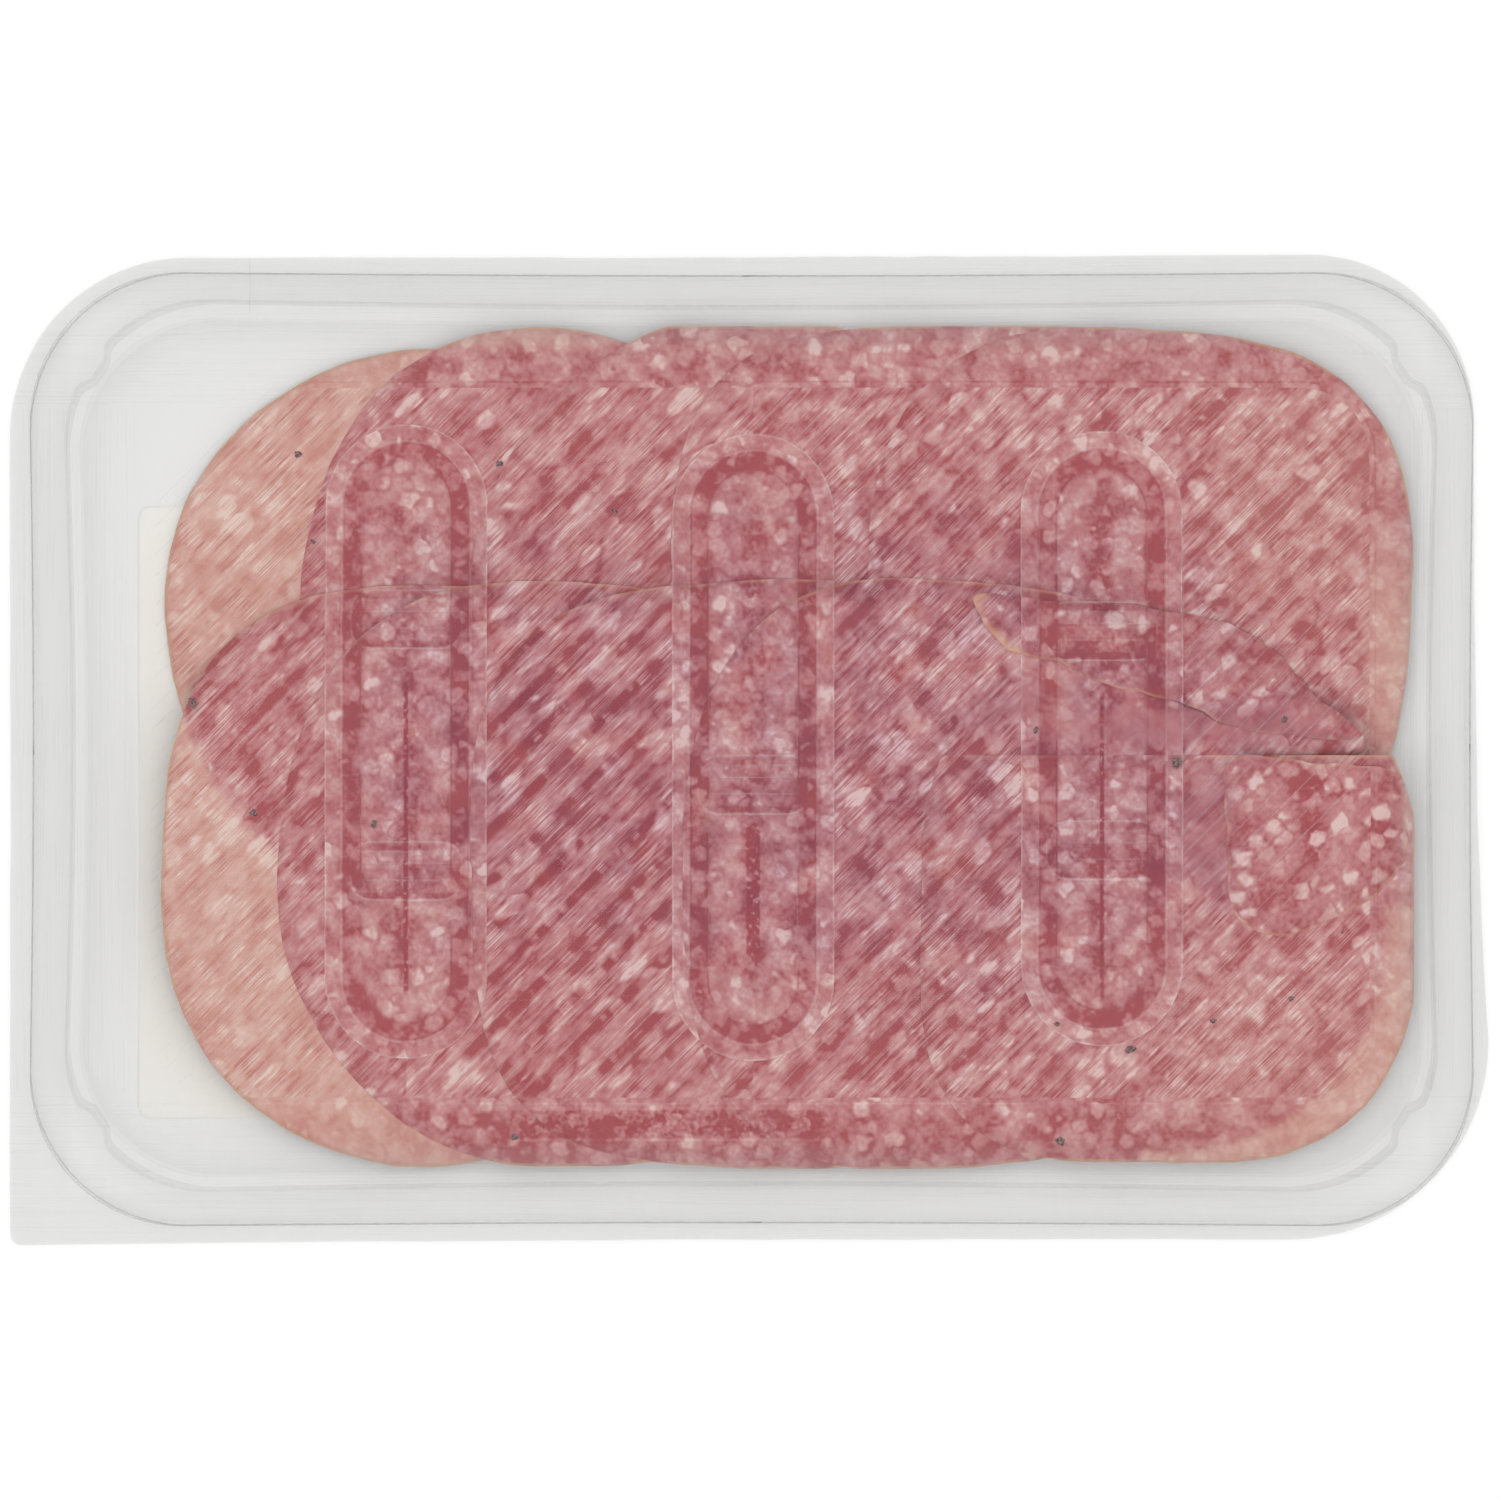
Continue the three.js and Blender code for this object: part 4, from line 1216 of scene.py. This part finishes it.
def tray_lines(steep):
    """What the tray hides more than plain plastic: draw lines, seal, crease, flange, painted highlight
    lines along the ribs, slots and bars, and less at the base.
    """
    x, y, _ = parts_of(place())
    lengthwise = above(abs(y), STREAK_TURN)
    turned = lengthwise * (STREAK_ACROSS - STREAK_ALONG)
    line = noise(vector_of(x * (STREAK_ACROSS - turned), y * (STREAK_ALONG + turned)), 1.0, 1.0)
    streaks = hairlines(line, 0.05) * abs(x).step(80, 85).highest(lengthwise) * STREAKS
    crease = hairlines(x + CREASE_AT, 0.12) * above(y, CREASE_FROM) * 0.12
    flange = abs(x).step(91.5, 92.5).highest(abs(y).step(59.5, 60.5))
    walls = (value_of("seal") * 0.45 - value_of("base") * 0.07) * steep
    return streaks + walls + crease + flange * 0.015 + base_lines(x, y)


def clear_plastic(clear, body, lined):
    """Clear plastic: see-through where it lies flat, and greyer where it stands steep, as more of it
    is looked through there."""
    upright = abs(parts_of(Wire.node("NewGeometry", out=1))[2])
    steep = (1 - upright).step(0.0, 0.4)
    facing = Wire.node("LayerWeight", inputs={"Blend": 0.5}, out=1)
    hidden = steep * 0.07 + facing * facing * facing * facing * 0.1 + 0.005
    if lined:
        hidden = hidden + tray_lines(steep)
    opening = Wire.node("BsdfTransparent", inputs={0: (*clear, 1.0)})
    plastic = surface((*body, 1.0), 0.12)
    return Wire.node("MixShader", inputs={0: hidden.lowest(1.0), 1: opening, 2: plastic})


def label_paper():
    """Matt white paper with a faint cloud in it."""
    spot = place()
    cloud, fibre = noise(spot, 12.0, 3.0), noise(spot, 0.5, 2.0)
    colour = mix(cloud * 0.5 + fibre * 0.5, linear(253, 251, 247), linear(248, 245, 240))
    return surface(colour, 0.75, Normal=bumps(fibre, 0.2, 0.02))


def pepper():
    """Dark crushed pepper, seen through a little fat."""
    grit = noise(place(), 0.3, 2.0)
    return surface(mix(grit.step(0.35, 0.65), linear(78, 58, 60), linear(138, 104, 102)), 0.6)


def floor_white():
    return surface((0.93, 0.93, 0.93, 1.0), 0.9, 0.0)


# ---- The pack ----

# Pepper: where each bit shows, and how large it is
PEPPER = [
    (-61.0, 39.9, 0.9), (-75.1, 6.3, 1.0), (-66.9, -8.5, 0.8), (-50.6, -10.0, 0.8), (57.5, -1.6, 1.1),
    (51.4, -40.3, 1.1), (62.6, -36.5, 0.7), (73.0, -33.5, 0.7), (42.0, -52.7, 1.0), (-31.7, -52.2, 0.8),
    (-18.2, 32.2, 0.7), (38.6, 2.7, 0.7), (72.1, 4.1, 0.6), (-58.9, 28.1, 0.5), (-33.8, 38.6, 0.7),
    (41.5, -36.9, 0.7), (80.0, -24.5, 0.4),
]


AROUND, UP = 9, 4  # how many sides and steps a bit has


def pepper_bit(x, y, z, size, draw):
    """The points of one uneven, flattened lump, ring by ring from its top."""
    long = draw.uniform(0.9, 1.3)
    turn = draw.uniform(0, math.pi)
    points = []
    for tilt in [math.pi * j / UP for j in range(UP + 1)]:
        for angle in [2 * math.pi * i / AROUND for i in range(AROUND)]:
            reach = size * 0.7 * math.sin(tilt) * draw.uniform(0.6, 1.25)
            a, b = reach * long * math.cos(angle), reach / long * math.sin(angle)
            points.append((
                x + a * math.cos(turn) - b * math.sin(turn),
                y + a * math.sin(turn) + b * math.cos(turn),
                z + 0.05 * math.cos(tilt) + 0.01,
            ))
    return points


def pepper_mesh(loops, layers, sheet, ceiling):
    """Small crushed bits lying on the slices that show."""
    draw = np.random.default_rng(7)
    points, faces = [], []
    for x, y, size in PEPPER:
        at = np.array([[x, y]])
        top_layer = max(layers[name] for name, loop in loops.items() if inside(loop, at)[0])
        on_meat = float(sheet.at(at)[0]) + top_layer * LAYER + SLICE_THICKNESS
        start = len(points)
        points += pepper_bit(x, y, min(on_meat, float(ceiling.at(at)[0]) - 0.12), size, draw)
        for j in range(UP):
            rings = strip(start + j * AROUND, start + (j + 1) * AROUND, AROUND)
            faces += [(a, d, c, b) for a, b, c, d in rings]
    return points, faces


def set_in_place(piece, slot, *nodes):
    """Lets a piece ride on the pack and stand for CAD nodes. Its slot is not used."""
    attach(piece, "root")
    if nodes:
        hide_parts(*nodes)


def flat_sheet(outline_loop, low, high):
    """A thin flat sheet between two heights."""
    flat, triangles = filled([outline_loop], (), hex_points(outline_loop, 12.0, 4.0))
    count = len(flat)
    edge = len(outline_loop)
    points = np.concatenate([
        np.column_stack([area, np.full(len(area), z)])
        for area, z in ((flat, high), (flat, low), (outline_loop, low), (outline_loop, high))
    ])
    sides = strip(2 * count, 2 * count + edge, edge)
    return points, triangles.tolist() + (triangles[:, ::-1] + count).tolist() + sides


def build_pack():
    points, faces = flat_sheet(loop_of(LABEL_LINE, 8, 12), 0.0, LABEL_TOP)
    piece = new_piece("label_sheet", points, faces, material("label_paper", label_paper))
    set_in_place(piece, "label_paper", "label")

    lid = material("lid_film", clear_plastic, (0.9595, 0.9595, 0.9585), (0.6, 0.6, 0.59), False)
    points, faces = flat_sheet(trimmed(loop_of(OUTLINE)), LABEL_TOP + 0.005, FILM_TOP)
    set_in_place(new_piece("lid_sheet", points, faces, lid), "lid_film", "film")

    shell = material("tray_plastic", clear_plastic, (0.984, 0.984, 0.982), (0.45, 0.46, 0.46), True)
    points, faces, fields = tray_mesh()
    set_in_place(new_piece("tray_shell", points, faces, shell, fields, sharp=28), "tray_plastic", "tray")

    meat = material("cured_meat", cured_meat)
    sheet, ceiling = shared_sheet(), tray_ceiling()
    loops, layers = {}, {}
    for pieces, loop_from, spacing in ((SLICES, oval, 0.9), (FLAPS, flap_loop, 0.7)):
        for number, (name, slice_) in enumerate(pieces.items()):
            loops[name] = spaced(held_in(loop_from(slice_, number), WALL_GAP), spacing)
            layers[name] = slice_["layer"]
    for name in loops:
        points, faces, fields = slice_mesh(name, loops, sheet, ceiling, layers)
        new_name = name.replace("slice", "salami")
        set_in_place(new_piece(new_name, points, faces, meat, fields, 60, False), "cured_meat", name)

    points, faces = pepper_mesh(loops, layers, sheet, ceiling)
    set_in_place(new_piece("pepper_bits", points, faces, material("pepper", pepper)), "cured_meat")


# ---- Studio ----


FLOOR_HALF, FLOOR_DROP = 6.0, 0.05 * MM


def dome():
    """White all over and brightest overhead."""
    height = parts_of(Wire.node("TexCoord", out=0))[2]
    sky = mix(height.step(0.0, 1.0), (0.85, 0.85, 0.85), (1.25, 1.25, 1.25))
    return Wire.node("Background", inputs={0: sky, 1: 1.0})


def studio():
    """A white floor under a white studio dome."""
    half = FLOOR_HALF
    mesh = bpy.data.meshes.new("floor")
    corners = [(-half, -half, 0), (half, -half, 0), (half, half, 0), (-half, half, 0)]
    mesh.from_pydata(corners, [], [(0, 1, 2, 3)])
    mesh.materials.append(material("floor_white", floor_white))
    floor = bpy.data.objects.new("floor", mesh)
    bpy.context.scene.collection.objects.link(floor)
    floor.location.z = -FLOOR_DROP
    world = dressed(bpy.data.worlds.new("studio_sky"), "World", dome)
    bpy.context.scene.world = world
    # nothing in the sky is small or bright, so it needs no aimed sampling
    world.cycles.sampling_method = "NONE"


# The photograph is 202.7 mm wide at the flange, and looks straight down
VIEW_WIDTH = 202.7
VIEW_DISTANCE = 2000.0
VIEW_MIDDLE = (0.07, 0.0)


def camera():
    data = bpy.data.cameras.new("camera")
    data.sensor_width = 36.0
    data.lens = data.sensor_width * VIEW_DISTANCE / VIEW_WIDTH
    data.clip_start = 0.01
    data.clip_end = 20
    eye = bpy.data.objects.new("camera", data)
    bpy.context.scene.collection.objects.link(eye)
    eye.location = (VIEW_MIDDLE[0] * MM, VIEW_MIDDLE[1] * MM, (VIEW_DISTANCE + FLANGE_TOP) * MM)
    bpy.context.scene.camera = eye


build_pack()
studio()
camera()
bpy.context.scene.view_settings.view_transform = "Standard"
bpy.context.scene.cycles.diffuse_bounces = 2
bpy.context.scene.cycles.transparent_max_bounces = 16
